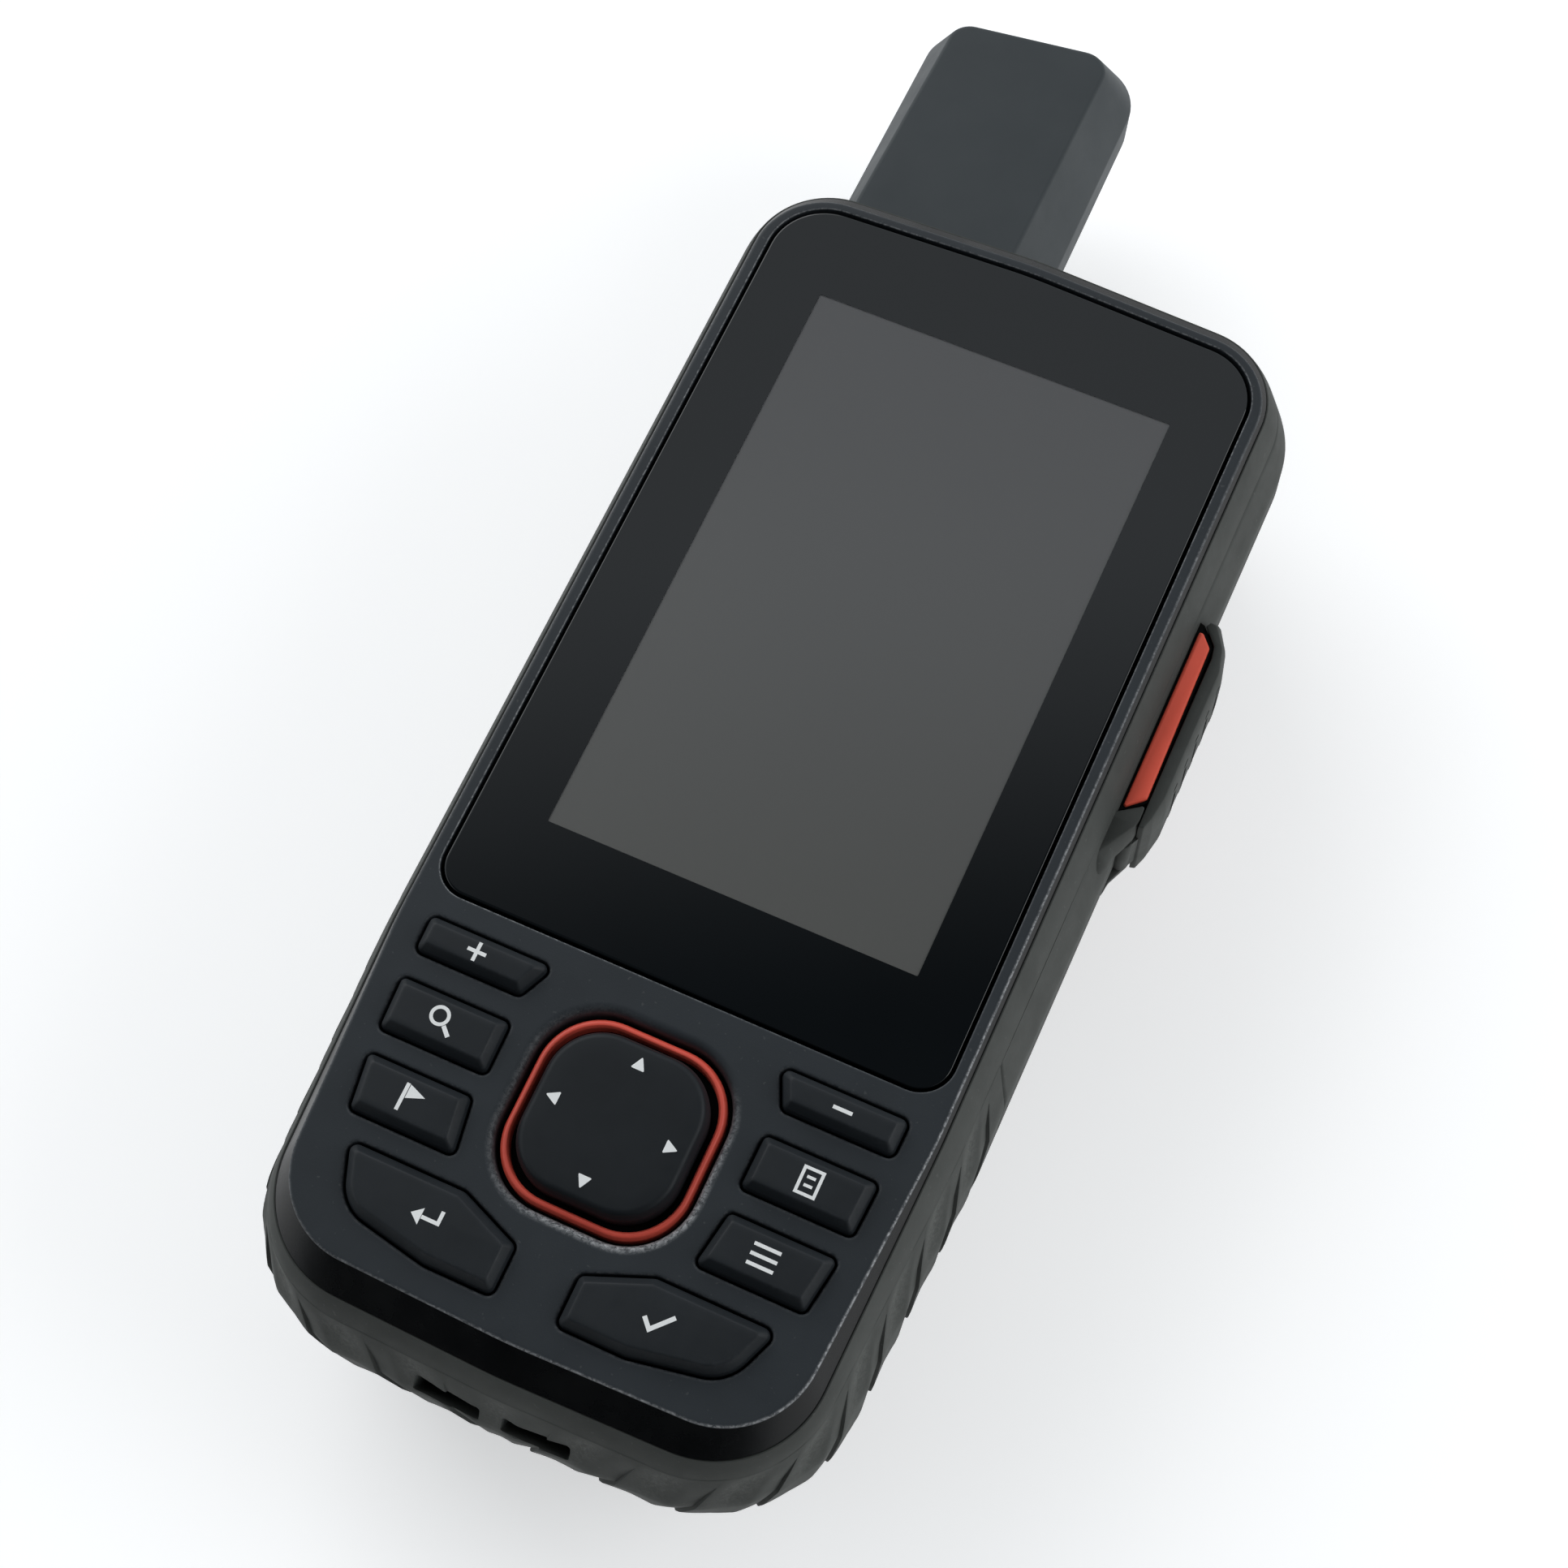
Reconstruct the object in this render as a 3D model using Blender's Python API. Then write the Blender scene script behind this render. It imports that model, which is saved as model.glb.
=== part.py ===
"""Rugged handheld satellite navigator: front face up, aerial towards +Y, lying on the rear mounting spine.

Row frame: x = 0 is the body's centre plane, y = 0 is level with the middle of the display, and z = 0 is the
flat rear face of the mounting spine. Every size below is in millimetres; MM turns it into metres.
"depth" is measured from the front face towards the back, so z = FACE_Z - depth.
"""

import math

import bmesh
import bpy

MM = 0.001

# ---------------------------------------------------------------- driving dimensions (mm)
FACE_Z = 33.5
GAP = 0.3
SKIN = 1.6
GRIP_SKIN = 1.4
WALL = 1.7
FACE_THICKNESS = 2.4
FRONT_SKIRT_DEPTH = 2.6
OVERMOULD_DEPTHS = (2.9, 5.0, 9.5, 14.0, 19.0, 22.5)
REAR_FLAT_DEPTH = 29.6
REAR_WALL = 3.0

# Body profile: depth, half width at the display, half width at the chin, top, chin, top radius, chin radius.
BODY_PROFILE = (
    (0.0, 27.4, 25.3, 42.2, -77.7, 7.5, 9.0),
    (1.2, 28.1, 26.1, 43.2, -79.4, 8.2, 9.9),
    (2.6, 28.5, 26.7, 43.9, -80.6, 8.7, 10.6),
    (9.5, 30.9, 29.0, 46.5, -84.5, 12.0, 15.0),
    (14.0, 30.9, 29.0, 46.5, -84.3, 12.0, 15.0),
    (20.0, 30.2, 28.3, 46.0, -83.2, 12.0, 15.0),
    (26.0, 28.4, 26.6, 44.8, -81.0, 12.0, 14.0),
    (29.6, 25.8, 24.0, 42.4, -77.8, 10.0, 12.0),
)
TAPER_START_Y = -46.0
TOP_SIDE_DROP = 1.1
CHIN_SIDE_RISE = 0.7

GLASS_HALF = 25.9
GLASS_TOP = 40.9
GLASS_BOTTOM = -42.3
GLASS_BACK = 1.2
DISPLAY_HALF = (19.2, 31.6)

KEY_PROUD = 1.2
KEY_TRAVEL = 0.6
PAD_CENTRE = (0.0, -56.3)
PAD_HALF = 7.7
PAD_PROUD = 1.5
PAD_PIVOT_DEPTH = 3.4
PAD_NIB_REACH = 5.6

AERIAL_LEFT = -24.9
AERIAL_RIGHT = -0.3
AERIAL_TIP_LEFT = 75.4
AERIAL_TIP_RIGHT = 78.6

GRIP_START_Y = -33.4
GRIP_START_SLOPE = -0.45
TOOTH_PITCH = 7.6
TOOTH_FACET = 4.3
TOOTH_STEP = 0.3
TOOTH_DEPTH = 0.45
TOOTH_LEVEL = 9.5
TEETH_PER_SIDE = 9

STRAP_SLOT = (1.1, 7.7)
STRAP_DEPTHS = (8.2, 13.2)
STRAP_TUNNEL_Y = (-81.2, -77.6)

SPINE_HALF = 9.0
SPINE_Y = (-42.0, 16.0)

COLOURS = {
    "hard_black": ((0.020, 0.024, 0.028), 0.42, 0.0),
    "rubber_grey": ((0.045, 0.048, 0.046), 0.80, 0.0),
    "key_black": ((0.012, 0.014, 0.016), 0.55, 0.0),
    "accent_red": ((0.62, 0.07, 0.04), 0.50, 0.0),
    "glass": ((0.01, 0.012, 0.014), 0.08, 0.0),
    "display": ((0.085, 0.088, 0.088), 0.35, 0.0),
    "board_green": ((0.02, 0.16, 0.07), 0.50, 0.0),
    "steel": ((0.55, 0.55, 0.55), 0.30, 1.0),
    "battery_blue": ((0.05, 0.12, 0.28), 0.45, 0.0),
    "seal_rubber": ((0.03, 0.03, 0.03), 0.85, 0.0),
    "copper": ((0.70, 0.35, 0.18), 0.30, 1.0),
    "white_plastic": ((0.80, 0.80, 0.78), 0.45, 0.0),
}


# ---------------------------------------------------------------- helpers
def start_clean():
    for old in list(bpy.data.objects):
        bpy.data.objects.remove(old)


def material(name):
    made = bpy.data.materials.get(name)
    if made is None:
        made = bpy.data.materials.new(name)
        made.use_nodes = True
        colour, roughness, metallic = COLOURS[name]
        shader = made.node_tree.nodes["Principled BSDF"]
        shader.inputs["Base Color"].default_value = (*colour, 1.0)
        shader.inputs["Roughness"].default_value = roughness
        shader.inputs["Metallic"].default_value = metallic
    return made


def z_at(depth):
    return FACE_Z - depth


def add_object(name, mesh, finish):
    made = bpy.data.objects.new(name, mesh)
    bpy.context.scene.collection.objects.link(made)
    if finish:
        mesh.materials.append(material(finish))
        mesh.shade_smooth()
        mesh.set_sharp_from_angle(angle=math.radians(30))
    return made


def loft(name, rings, finish, origin=(0.0, 0.0, 0.0)):
    """A closed solid through rings of (x, y, z) points in millimetres, each ring with the same number of points."""
    builder = bmesh.new()
    rows = []
    for ring in rings:
        rows.append([builder.verts.new([(p - o) * MM for p, o in zip(point, origin)]) for point in ring])
    count = len(rows[0])
    for lower, upper in zip(rows, rows[1:]):
        for i in range(count):
            after = (i + 1) % count
            builder.faces.new((lower[i], lower[after], upper[after], upper[i]))
    builder.faces.new(rows[0])
    builder.faces.new(rows[-1])
    bmesh.ops.recalc_face_normals(builder, faces=builder.faces)
    mesh = bpy.data.meshes.new(name)
    builder.to_mesh(mesh)
    builder.free()
    made = add_object(name, mesh, finish)
    made.location = [o * MM for o in origin]
    return made


def flat_ring(outline, depth):
    return [(x, y, z_at(depth)) for x, y in outline]


def slab(name, outline, depth_from, depth_to, finish, origin=(0.0, 0.0, 0.0)):
    rings = [flat_ring(outline, depth_from), flat_ring(outline, depth_to)]
    return loft(name, rings, finish, origin)


def as_cutter(helper):
    helper.hide_render = True
    helper.display_type = "WIRE"
    return helper


def combine(target, helper, operation):
    step = target.modifiers.new(helper.name, "BOOLEAN")
    step.operation = operation
    step.object = as_cutter(helper)
    step.solver = "EXACT"
    return target


def cut(target, *helpers):
    for helper in helpers:
        combine(target, helper, "DIFFERENCE")
    return target


def join(target, *helpers):
    for helper in helpers:
        combine(target, helper, "UNION")
    return target


def rounded(corners, steps=4):
    """A closed outline through (x, y, radius) corners, each corner turned into an arc of the same number of points."""
    outline = []
    count = len(corners)
    for i, (x, y, radius) in enumerate(corners):
        if radius <= 0:
            outline.append((x, y))
            continue
        before, after = corners[i - 1], corners[(i + 1) % count]
        ax, ay = before[0] - x, before[1] - y
        bx, by = after[0] - x, after[1] - y
        a_length, b_length = math.hypot(ax, ay), math.hypot(bx, by)
        ax, ay, bx, by = ax / a_length, ay / a_length, bx / b_length, by / b_length
        half = math.acos(max(-1.0, min(1.0, ax * bx + ay * by))) / 2
        middle_x, middle_y = ax + bx, ay + by
        length = math.hypot(middle_x, middle_y)
        centre_x = x + middle_x / length * radius / math.sin(half)
        centre_y = y + middle_y / length * radius / math.sin(half)
        reach = radius / math.tan(half)
        start = math.atan2(y + ay * reach - centre_y, x + ax * reach - centre_x)
        end = math.atan2(y + by * reach - centre_y, x + bx * reach - centre_x)
        sweep = (end - start + math.pi) % (2 * math.pi) - math.pi
        for k in range(steps + 1):
            angle = start + sweep * k / steps
            outline.append((centre_x + radius * math.cos(angle), centre_y + radius * math.sin(angle)))
    return outline


def box_outline(x_low, x_high, y_low, y_high, radius=0.0, steps=3):
    corners = [(x_low, y_low), (x_high, y_low), (x_high, y_high), (x_low, y_high)]
    return rounded([(x, y, radius) for x, y in corners], steps)


def circle(x, y, radius, count=16):
    turn = 2 * math.pi / count
    return [(x + radius * math.cos(turn * i), y + radius * math.sin(turn * i)) for i in range(count)]


def box(name, x, y, depths, finish):
    return slab(name, box_outline(x[0], x[1], y[0], y[1]), depths[0], depths[1], finish)


def body_measures(depth):
    """The body profile's measures at a depth, on straight lines between its rows."""
    rows = BODY_PROFILE
    depth = min(max(depth, rows[0][0]), rows[-1][0])
    for low, high in zip(rows, rows[1:]):
        if depth <= high[0]:
            share = (depth - low[0]) / (high[0] - low[0])
            return [a + (b - a) * share for a, b in zip(low[1:], high[1:])]
    return list(rows[-1][1:])


def body_outline(depth, inset=0.0, steps=6):
    """The body's plan outline at a depth, moved inwards by inset, clockwise from the top centre."""
    half, chin_half, top, chin, top_radius, chin_radius = body_measures(depth)
    half, chin_half, top, chin = half - inset, chin_half - inset, top - inset, chin + inset
    top_radius, chin_radius = max(top_radius - inset, 1.5), max(chin_radius - inset, 1.5)
    right = [
        (half, top - TOP_SIDE_DROP, top_radius),
        (half, TAPER_START_Y, 0.0),
        (chin_half, chin + CHIN_SIDE_RISE, chin_radius),
    ]
    left = [(-x, y, radius) for x, y, radius in reversed(right)]
    return rounded([(0.0, top, 0.0), *right, (0.0, chin, 0.0), *left], steps)


def moved_in(outline, inset):
    """An outline moved inwards by inset along its corners' bisectors, for small insets."""
    area = sum(a[0] * b[1] - b[0] * a[1] for a, b in zip(outline, outline[1:] + outline[:1]))
    side = 1.0 if area > 0 else -1.0
    result = []
    count = len(outline)
    for i, (x, y) in enumerate(outline):
        before, after = outline[i - 1], outline[(i + 1) % count]
        normals = []
        for start, end in ((before, (x, y)), ((x, y), after)):
            along_x, along_y = end[0] - start[0], end[1] - start[1]
            length = math.hypot(along_x, along_y) or 1.0
            normals.append((-along_y / length * side, along_x / length * side))
        normal_x, normal_y = normals[0][0] + normals[1][0], normals[0][1] + normals[1][1]
        square = normal_x * normal_x + normal_y * normal_y
        result.append((x + 2 * inset * normal_x / square, y + 2 * inset * normal_y / square))
    return result


# ---------------------------------------------------------------- key and pad outlines
def key_corners():
    """The opening of each right-hand key, as (x, y, radius) corners, and of its mirror twin on the left."""
    right = {
        "zoom_out": [(11.3, -44.8, 0.9), (24.5, -44.8, 0.9), (24.4, -48.9, 0.9), (13.2, -48.9, 0.9)],
        "page": [(12.7, -51.2, 0.8), (24.3, -51.2, 0.8), (24.0, -56.9, 0.8), (12.6, -56.9, 0.8)],
        "menu": [(12.8, -58.9, 0.8), (23.8, -58.9, 0.8), (22.9, -64.8, 0.8), (11.8, -64.8, 0.8)],
        "enter": [
            (3.0, -69.5, 0.9),
            (9.5, -66.9, 1.5),
            (21.6, -66.9, 1.0),
            (19.2, -73.0, 4.5),
            (10.0, -74.7, 3.0),
            (3.0, -74.7, 0.9),
        ],
    }
    twins = {"zoom_out": "zoom_in", "page": "find", "menu": "mark", "enter": "quit"}
    left = {twins[name]: [(-x, y, r) for x, y, r in reversed(corners)] for name, corners in right.items()}
    return {**right, **left}


def key_outline(corners, inset=0.0):
    """A key's outline moved in by inset, with its corner radii kept in step."""
    sharp = moved_in([(x, y) for x, y, radius in corners], inset)
    radii = [max(radius - inset, 0.35) for x, y, radius in corners]
    return rounded([(x, y, radius) for (x, y), radius in zip(sharp, radii)], 3)


def squircle(half, radius, steps=6):
    x, y = PAD_CENTRE
    return box_outline(x - half, x + half, y - half, y + half, radius, steps)


def glass_outline(extra=0.0):
    half, top, bottom = GLASS_HALF + extra, GLASS_TOP + extra, GLASS_BOTTOM - extra
    side_top = top - TOP_SIDE_DROP + 0.1
    return rounded(
        [
            (0.0, top, 0.0),
            (half, side_top, 6.2 + extra),
            (half, bottom, 4.0 + extra),
            (-half, bottom, 4.0 + extra),
            (-half, side_top, 6.2 + extra),
        ],
        5,
    )


# ---------------------------------------------------------------- shells
SCREW_POSTS = ((18.0, 37.0), (-18.0, 37.0), (22.9, -20.0), (-22.9, -20.0), (0.0, -72.3))
POST_RADIUS = 1.75
POST_END_DEPTH = 25.8
SCREW_SHANK = 0.9
SCREW_HEAD = 1.7


def front_housing():
    outer = [body_outline(0.0, 0.35), body_outline(0.3), body_outline(1.2), body_outline(FRONT_SKIRT_DEPTH)]
    depths = (0.0, 0.3, 1.2, FRONT_SKIRT_DEPTH)
    shell = loft("front_housing", [flat_ring(o, d) for o, d in zip(outer, depths)], "hard_black")
    hollow = body_outline(FRONT_SKIRT_DEPTH, SKIN + WALL)
    cut(shell, slab("cut_front_hollow", hollow, FACE_THICKNESS, FRONT_SKIRT_DEPTH + 1, None))
    for i, (x, y) in enumerate(SCREW_POSTS):
        join(shell, slab(f"add_post_{i}", circle(x, y, POST_RADIUS, 12), FACE_THICKNESS - 0.4, POST_END_DEPTH, None))
        cut(shell, slab(f"cut_pilot_{i}", circle(x, y, SCREW_SHANK + GAP, 12), 15.0, POST_END_DEPTH + 1, None))
    cut(shell, slab("cut_glass_pocket", glass_outline(0.35), -1.0, 1.7, None))
    window = box_outline(-DISPLAY_HALF[0] - 1.0, DISPLAY_HALF[0] + 1.0, -DISPLAY_HALF[1] - 1.0, DISPLAY_HALF[1] + 1.0)
    cut(shell, slab("cut_display_window", window, 1.0, 4.0, None))
    for name, corners in key_corners().items():
        cut(shell, slab(f"cut_key_{name}", key_outline(corners), -1.0, 4.0, None))
    dish = [flat_ring(squircle(10.7, 7.6), -0.2), flat_ring(squircle(10.6, 7.5), 0.0)]
    dish += [flat_ring(squircle(9.75, 6.6), 0.8), flat_ring(squircle(9.75, 6.6), 4.0)]
    cut(shell, loft("cut_pad_opening", dish, None))
    return shell


def rear_housing():
    """The hard rear shell: hidden under the overmould down to its edge, then flush with it to the flat back."""
    inner = SKIN + GAP
    last = OVERMOULD_DEPTHS[-1]
    rings = [flat_ring(body_outline(d, inner), d) for d in (3.2, 5.0, 9.5, 14.0, 19.0, last + GAP)]
    rings += [flat_ring(body_outline(d), d) for d in (last + GAP, 26.0, 29.0)]
    rings.append(flat_ring(body_outline(REAR_FLAT_DEPTH, 0.4), REAR_FLAT_DEPTH))
    shell = loft("rear_housing", rings, "hard_black")
    hollow = []
    for depth in (3.0, 5.0, 9.5, 14.0, 19.0, 23.0, REAR_FLAT_DEPTH - REAR_WALL):
        outline = body_outline(depth, inner + WALL)
        hollow.append(flat_ring([(x, max(y, STRAP_TUNNEL_Y[1] + 1.6)) for x, y in outline], depth))
    cut(shell, loft("cut_rear_hollow", hollow, None))
    for i, (x, y) in enumerate(SCREW_POSTS):
        bore = circle(x, y, SCREW_SHANK + GAP, 12)
        head = circle(x, y, SCREW_HEAD + GAP, 12)
        cut(shell, slab(f"cut_bore_{i}", bore, 25.0, 31.0, None), slab(f"cut_head_{i}", head, 28.2, 31.0, None))
    for i, y in enumerate(SPINE_SCREWS):
        cut(shell, slab(f"cut_spine_bore_{i}", circle(0.0, y, SCREW_SHANK + GAP, 12), 27.2, 31.0, None))
    low, high = STRAP_SLOT
    tunnel = box("cut_strap_tunnel", (-high, high), STRAP_TUNNEL_Y, STRAP_DEPTHS, None)
    cut(shell, tunnel)
    for side in (-1, 1):
        x = sorted((side * low, side * high))
        cut(shell, box(f"cut_strap_way_{side + 1}", x, (-90.0, STRAP_TUNNEL_Y[0] + 0.1), STRAP_DEPTHS, None))
    cut(shell, aerial_duct("cut_aerial_duct", 0.0), power_shaft("cut_power_hole", GAP, None))
    cut(shell, sos_seat("cut_sos_shaft", sos_grown(SOS_BUTTON, GAP), (20.0, 40.0), None, 1.5))
    for name in CAP_WAYS:
        cut(shell, *cap_seats(name))
    lens = circle(*LAMP_CENTRE, LAMP_RADIUS + GAP, 20)
    cut(shell, slab("cut_lamp", lens, 25.0, 31.0, None))
    for i in range(3):
        hole = circle(BUZZER_CENTRE[0] + 2.2 * (i - 1), BUZZER_CENTRE[1], 0.6, 10)
        cut(shell, slab(f"cut_sound_hole_{i}", hole, 25.0, 31.0, None))
    return shell


def along(outline):
    """The running length at each point of a closed outline, and its whole length."""
    lengths = [0.0]
    for a, b in zip(outline, outline[1:] + outline[:1]):
        lengths.append(lengths[-1] + math.hypot(b[0] - a[0], b[1] - a[1]))
    return lengths


def point_on(outline, lengths, distance):
    for i in range(len(outline)):
        if distance <= lengths[i + 1]:
            share = (distance - lengths[i]) / (lengths[i + 1] - lengths[i])
            a, b = outline[i], outline[(i + 1) % len(outline)]
            return (a[0] + (b[0] - a[0]) * share, a[1] + (b[1] - a[1]) * share)
    return outline[0]


def split_y(depth):
    return GRIP_START_Y + GRIP_START_SLOPE * depth


def skin_levels(thickness):
    """The skin's cross-section as (depth, inset) pairs: down its outside and back up its inside."""
    outside = [(depth, 0.0) for depth in OVERMOULD_DEPTHS]
    return outside + [(depth, thickness) for depth in reversed(OVERMOULD_DEPTHS)]


def grip_samples():
    """(distance from the chin's centre, how far sunk) for one half of the grip, as far as its last tooth."""
    samples = [(0.0, 0.0)]
    for j in range(1, TEETH_PER_SIDE + 1):
        line = TOOTH_PITCH * j
        samples.append((line - TOOTH_FACET, 0.0))
        samples.append((line - TOOTH_FACET / 2, TOOTH_DEPTH / 2))
        samples.append((line - TOOTH_STEP / 2, TOOTH_DEPTH))
        samples.append((line + TOOTH_STEP / 2, 0.0))
    return samples


def grip_reach(outline, lengths, depth):
    """The running length from the chin's centre to where the grip ends on the body's side."""
    end = len(outline) // 4 - 1
    return lengths[len(outline) // 2] - lengths[end] - (outline[end][1] - split_y(depth))


def grip_column(depth, inset):
    """One level of the grip, from its right-hand end round the chin to its left-hand end."""
    middle = body_outline(TOOTH_LEVEL)
    full_reach = grip_reach(middle, along(middle), TOOTH_LEVEL)
    outline = body_outline(depth, inset)
    lengths = along(outline)
    chin = lengths[len(outline) // 2]
    stretch = grip_reach(outline, lengths, depth) / full_reach
    half = body_measures(depth)[0] - inset
    column = []
    for side in (-1, 1):
        points = [(half * -side, split_y(depth), z_at(depth))]
        for distance, sunk in reversed(grip_samples()):
            place = chin + side * distance * stretch
            x, y = point_on(outline, lengths, place)
            if inset == 0.0 and sunk:
                ahead, behind = point_on(outline, lengths, place + 0.3), point_on(outline, lengths, place - 0.3)
                across_x, across_y = ahead[1] - behind[1], behind[0] - ahead[0]
                length = math.hypot(across_x, across_y)
                x, y = x + across_x / length * sunk, y + across_y / length * sunk
            points.append((x, y, z_at(depth)))
        column = points if side < 0 else column + points[-2::-1]
    return column


def grip():
    """The toothed rubber bumper round the chin, opened for the two strap slots."""
    columns = [grip_column(depth, inset) for depth, inset in skin_levels(GRIP_SKIN)]
    rings = [[column[k] for column in columns] for k in range(len(columns[0]))]
    skin = loft("grip_bumper", rings, "rubber_grey")
    low, high = STRAP_SLOT
    for side in (-1, 1):
        x = sorted((side * low, side * high))
        cut(skin, box(f"cut_strap_mouth_{side + 1}", x, (-90.0, -80.0), STRAP_DEPTHS, None))
    return skin


def overmould():
    """The smooth band over the top and the upper sides, opened for the aerial, the power button and the SOS unit."""
    columns = []
    for depth, inset in skin_levels(SKIN):
        outline = body_outline(depth, inset)
        half = body_measures(depth)[0] - inset
        quarter = len(outline) // 4
        ends = [(-half, split_y(depth) + GAP), (half, split_y(depth) + GAP)]
        over = outline[1 - quarter:] + outline[:quarter]
        columns.append([(x, y, z_at(depth)) for x, y in [ends[0], *over, ends[1]]])
    rings = [[column[k] for column in columns] for k in range(len(columns[0]))]
    skin = loft("side_overmould", rings, "rubber_grey")
    cut(skin, aerial_body("cut_aerial_way", GAP, 38.0), power_shaft("cut_power_way", GAP, None))
    return cut(skin, sos_seat("cut_sos_way", sos_grown(SOS_FRAME, GAP), (20.0, 40.0), None, 2.1))


def housing_seal():
    """The gasket between the front skirt and the rear shell's rim, just inside the wall."""
    outer = SKIN + GAP + 0.3
    ring = slab("housing_seal", body_outline(3.0, outer), 2.7, 3.1, "seal_rubber")
    return cut(ring, slab("cut_seal", body_outline(3.0, outer + 1.0), 2.0, 4.0, None))


# ---------------------------------------------------------------- aerial
def aerial_outline(inset, base_y):
    """The stub's plan outline moved in by inset, with its base line kept at base_y."""
    sharp = [
        (AERIAL_LEFT, base_y),
        (AERIAL_LEFT + 0.4, AERIAL_TIP_LEFT),
        (AERIAL_RIGHT - 0.4, AERIAL_TIP_RIGHT),
        (AERIAL_RIGHT, base_y),
    ]
    inside = moved_in(sharp, inset)
    radii = (0.0, 4.6 - inset * 0.5, 5.2 - inset * 0.5, 0.0)
    return rounded([(x, base_y if r == 0.0 else y, r) for (x, y), r in zip(inside, radii)], 5)


def aerial_body(name, grow, base_y, finish=None):
    """The stub's outside, grown by grow: a tilted front face, flanks that widen, and a narrower back."""
    front = []
    for x, y in aerial_outline(3.3 - grow, base_y):
        front.append((x, y, z_at(6.0 + (y - 44.0) * 0.08 - grow)))
    rings = [front]
    for depth, inset in ((15.0, 0.0), (20.0, 0.2), (24.6 + grow, 3.0)):
        rings.append(flat_ring(aerial_outline(inset - grow, base_y), depth))
    return loft(name, rings, finish)


def aerial_cover():
    cover = aerial_body("aerial_cover", 0.0, 38.0, "rubber_grey")
    cut(cover, aerial_body("cut_aerial_hollow", -1.8, 37.0))
    last = OVERMOULD_DEPTHS[-1]
    shoulders = [(2.0, SKIN), (9.5, SKIN), (14.0, SKIN), (19.0, SKIN), (last, SKIN), (last, -GAP), (27.0, -GAP)]
    return cut(cover, loft("cut_shoulders", [flat_ring(body_outline(d, i), d) for d, i in shoulders], None))


AERIAL_AXIS = ((AERIAL_LEFT + AERIAL_RIGHT) / 2, 16.0)


def upright_ring(radius, y, count, turn=0.0, lobes=0, lobe_height=0.0):
    """A ring round the aerial's axis, which runs along Y, with optional lobes for the helix strips."""
    x, depth = AERIAL_AXIS
    ring = []
    for i in range(count):
        angle = 2 * math.pi * i / count
        reach = radius + (lobe_height if lobes and i % (count // lobes) < 2 else 0.0)
        ring.append((x + reach * math.cos(angle + turn), y, z_at(depth) + reach * math.sin(angle + turn)))
    return ring


def aerial_parts():
    rings = [upright_ring(4.7, 47.6 + 2.4 * k, 16, math.radians(22.5 * k), 4, 0.35) for k in range(10)]
    loft("helix_element", rings, "copper")
    loft("aerial_board", [upright_ring(5.6, 46.1, 20), upright_ring(5.6, 47.2, 20)], "board_green")
    seal = loft("aerial_seal", [upright_ring(6.4, 44.7, 20), upright_ring(6.4, 45.7, 20)], "seal_rubber")
    cut(seal, loft("cut_aerial_seal", [upright_ring(5.2, 44.0, 20), upright_ring(5.2, 46.0, 20)], None))
    x, depth = AERIAL_AXIS
    slab("ceramic_patch", box_outline(x - 4.5, x + 4.5, 69.8, 72.2, 0.4), depth - 4.2, depth + 4.2, "white_plastic")


def aerial_duct(name, grow):
    """The round hole through the top wall that the aerial's lead passes through."""
    return loft(name, [upright_ring(4.4 + grow, 38.0, 20), upright_ring(4.4 + grow, 50.0, 20)], None)


def aerial_lead():
    """The short coaxial lead from the aerial's board to the main board."""
    x, depth = AERIAL_AXIS
    ends = [(x, 45.8, depth), (x, 43.0, depth), (x + 1.0, 39.5, depth - 0.6), (x + 3.0, 37.0, depth - 3.0)]
    ends += [(x + 4.0, 36.0, depth - 5.6)]
    points = []
    steps = 4
    for i in range(len(ends) - 1):
        p0, p1 = ends[max(i - 1, 0)], ends[i]
        p2, p3 = ends[i + 1], ends[min(i + 2, len(ends) - 1)]
        for k in range(steps):
            t = k / steps
            point = []
            for a, b, c, d in zip(p0, p1, p2, p3):
                point.append(0.5 * (2 * b + (c - a) * t + (2 * a - 5 * b + 4 * c - d) * t * t
                                    + (3 * b - a - 3 * c + d) * t * t * t))
            points.append(point)
    points.append(list(ends[-1]))
    curve = bpy.data.curves.new("aerial_lead", "CURVE")
    curve.dimensions = "3D"
    curve.bevel_depth = 0.65 * MM
    curve.bevel_resolution = 2
    curve.use_fill_caps = True
    spline = curve.splines.new("POLY")
    spline.points.add(len(points) - 1)
    for target, (px, py, pd) in zip(spline.points, points):
        target.co = (px * MM, py * MM, z_at(pd) * MM, 1.0)
    curve.materials.append(material("seal_rubber"))
    made = bpy.data.objects.new("aerial_lead", curve)
    bpy.context.scene.collection.objects.link(made)


# ---------------------------------------------------------------- display and keys
def display_stack():
    lens = glass_outline()
    rings = [flat_ring(moved_in(lens, 0.25), 0.1), flat_ring(lens, 0.35), flat_ring(lens, GLASS_BACK)]
    loft("display_lens", rings, "glass")
    frame = slab("lens_adhesive", moved_in(lens, 0.2), GLASS_BACK + 0.1, 1.6, "seal_rubber")
    x, y = DISPLAY_HALF
    cut(frame, box("cut_adhesive", (-x - 1.2, x + 1.2), (-y - 1.2, y + 1.2), (1.0, 2.0), None))
    slab("lcd_panel", box_outline(-x - 1.3, x + 1.3, -y - 2.4, y + 1.6, 0.5), 2.6, 4.1, "display")
    tray = slab("backlight_tray", box_outline(-x - 1.6, x + 1.6, -y - 2.8, y + 2.0, 0.5), 4.3, 6.0, "steel")
    cut(tray, slab("cut_tray", box_outline(-x - 1.0, x + 1.0, -y - 2.0, y + 1.2, 0.3), 4.0, 5.4, None))


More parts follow.
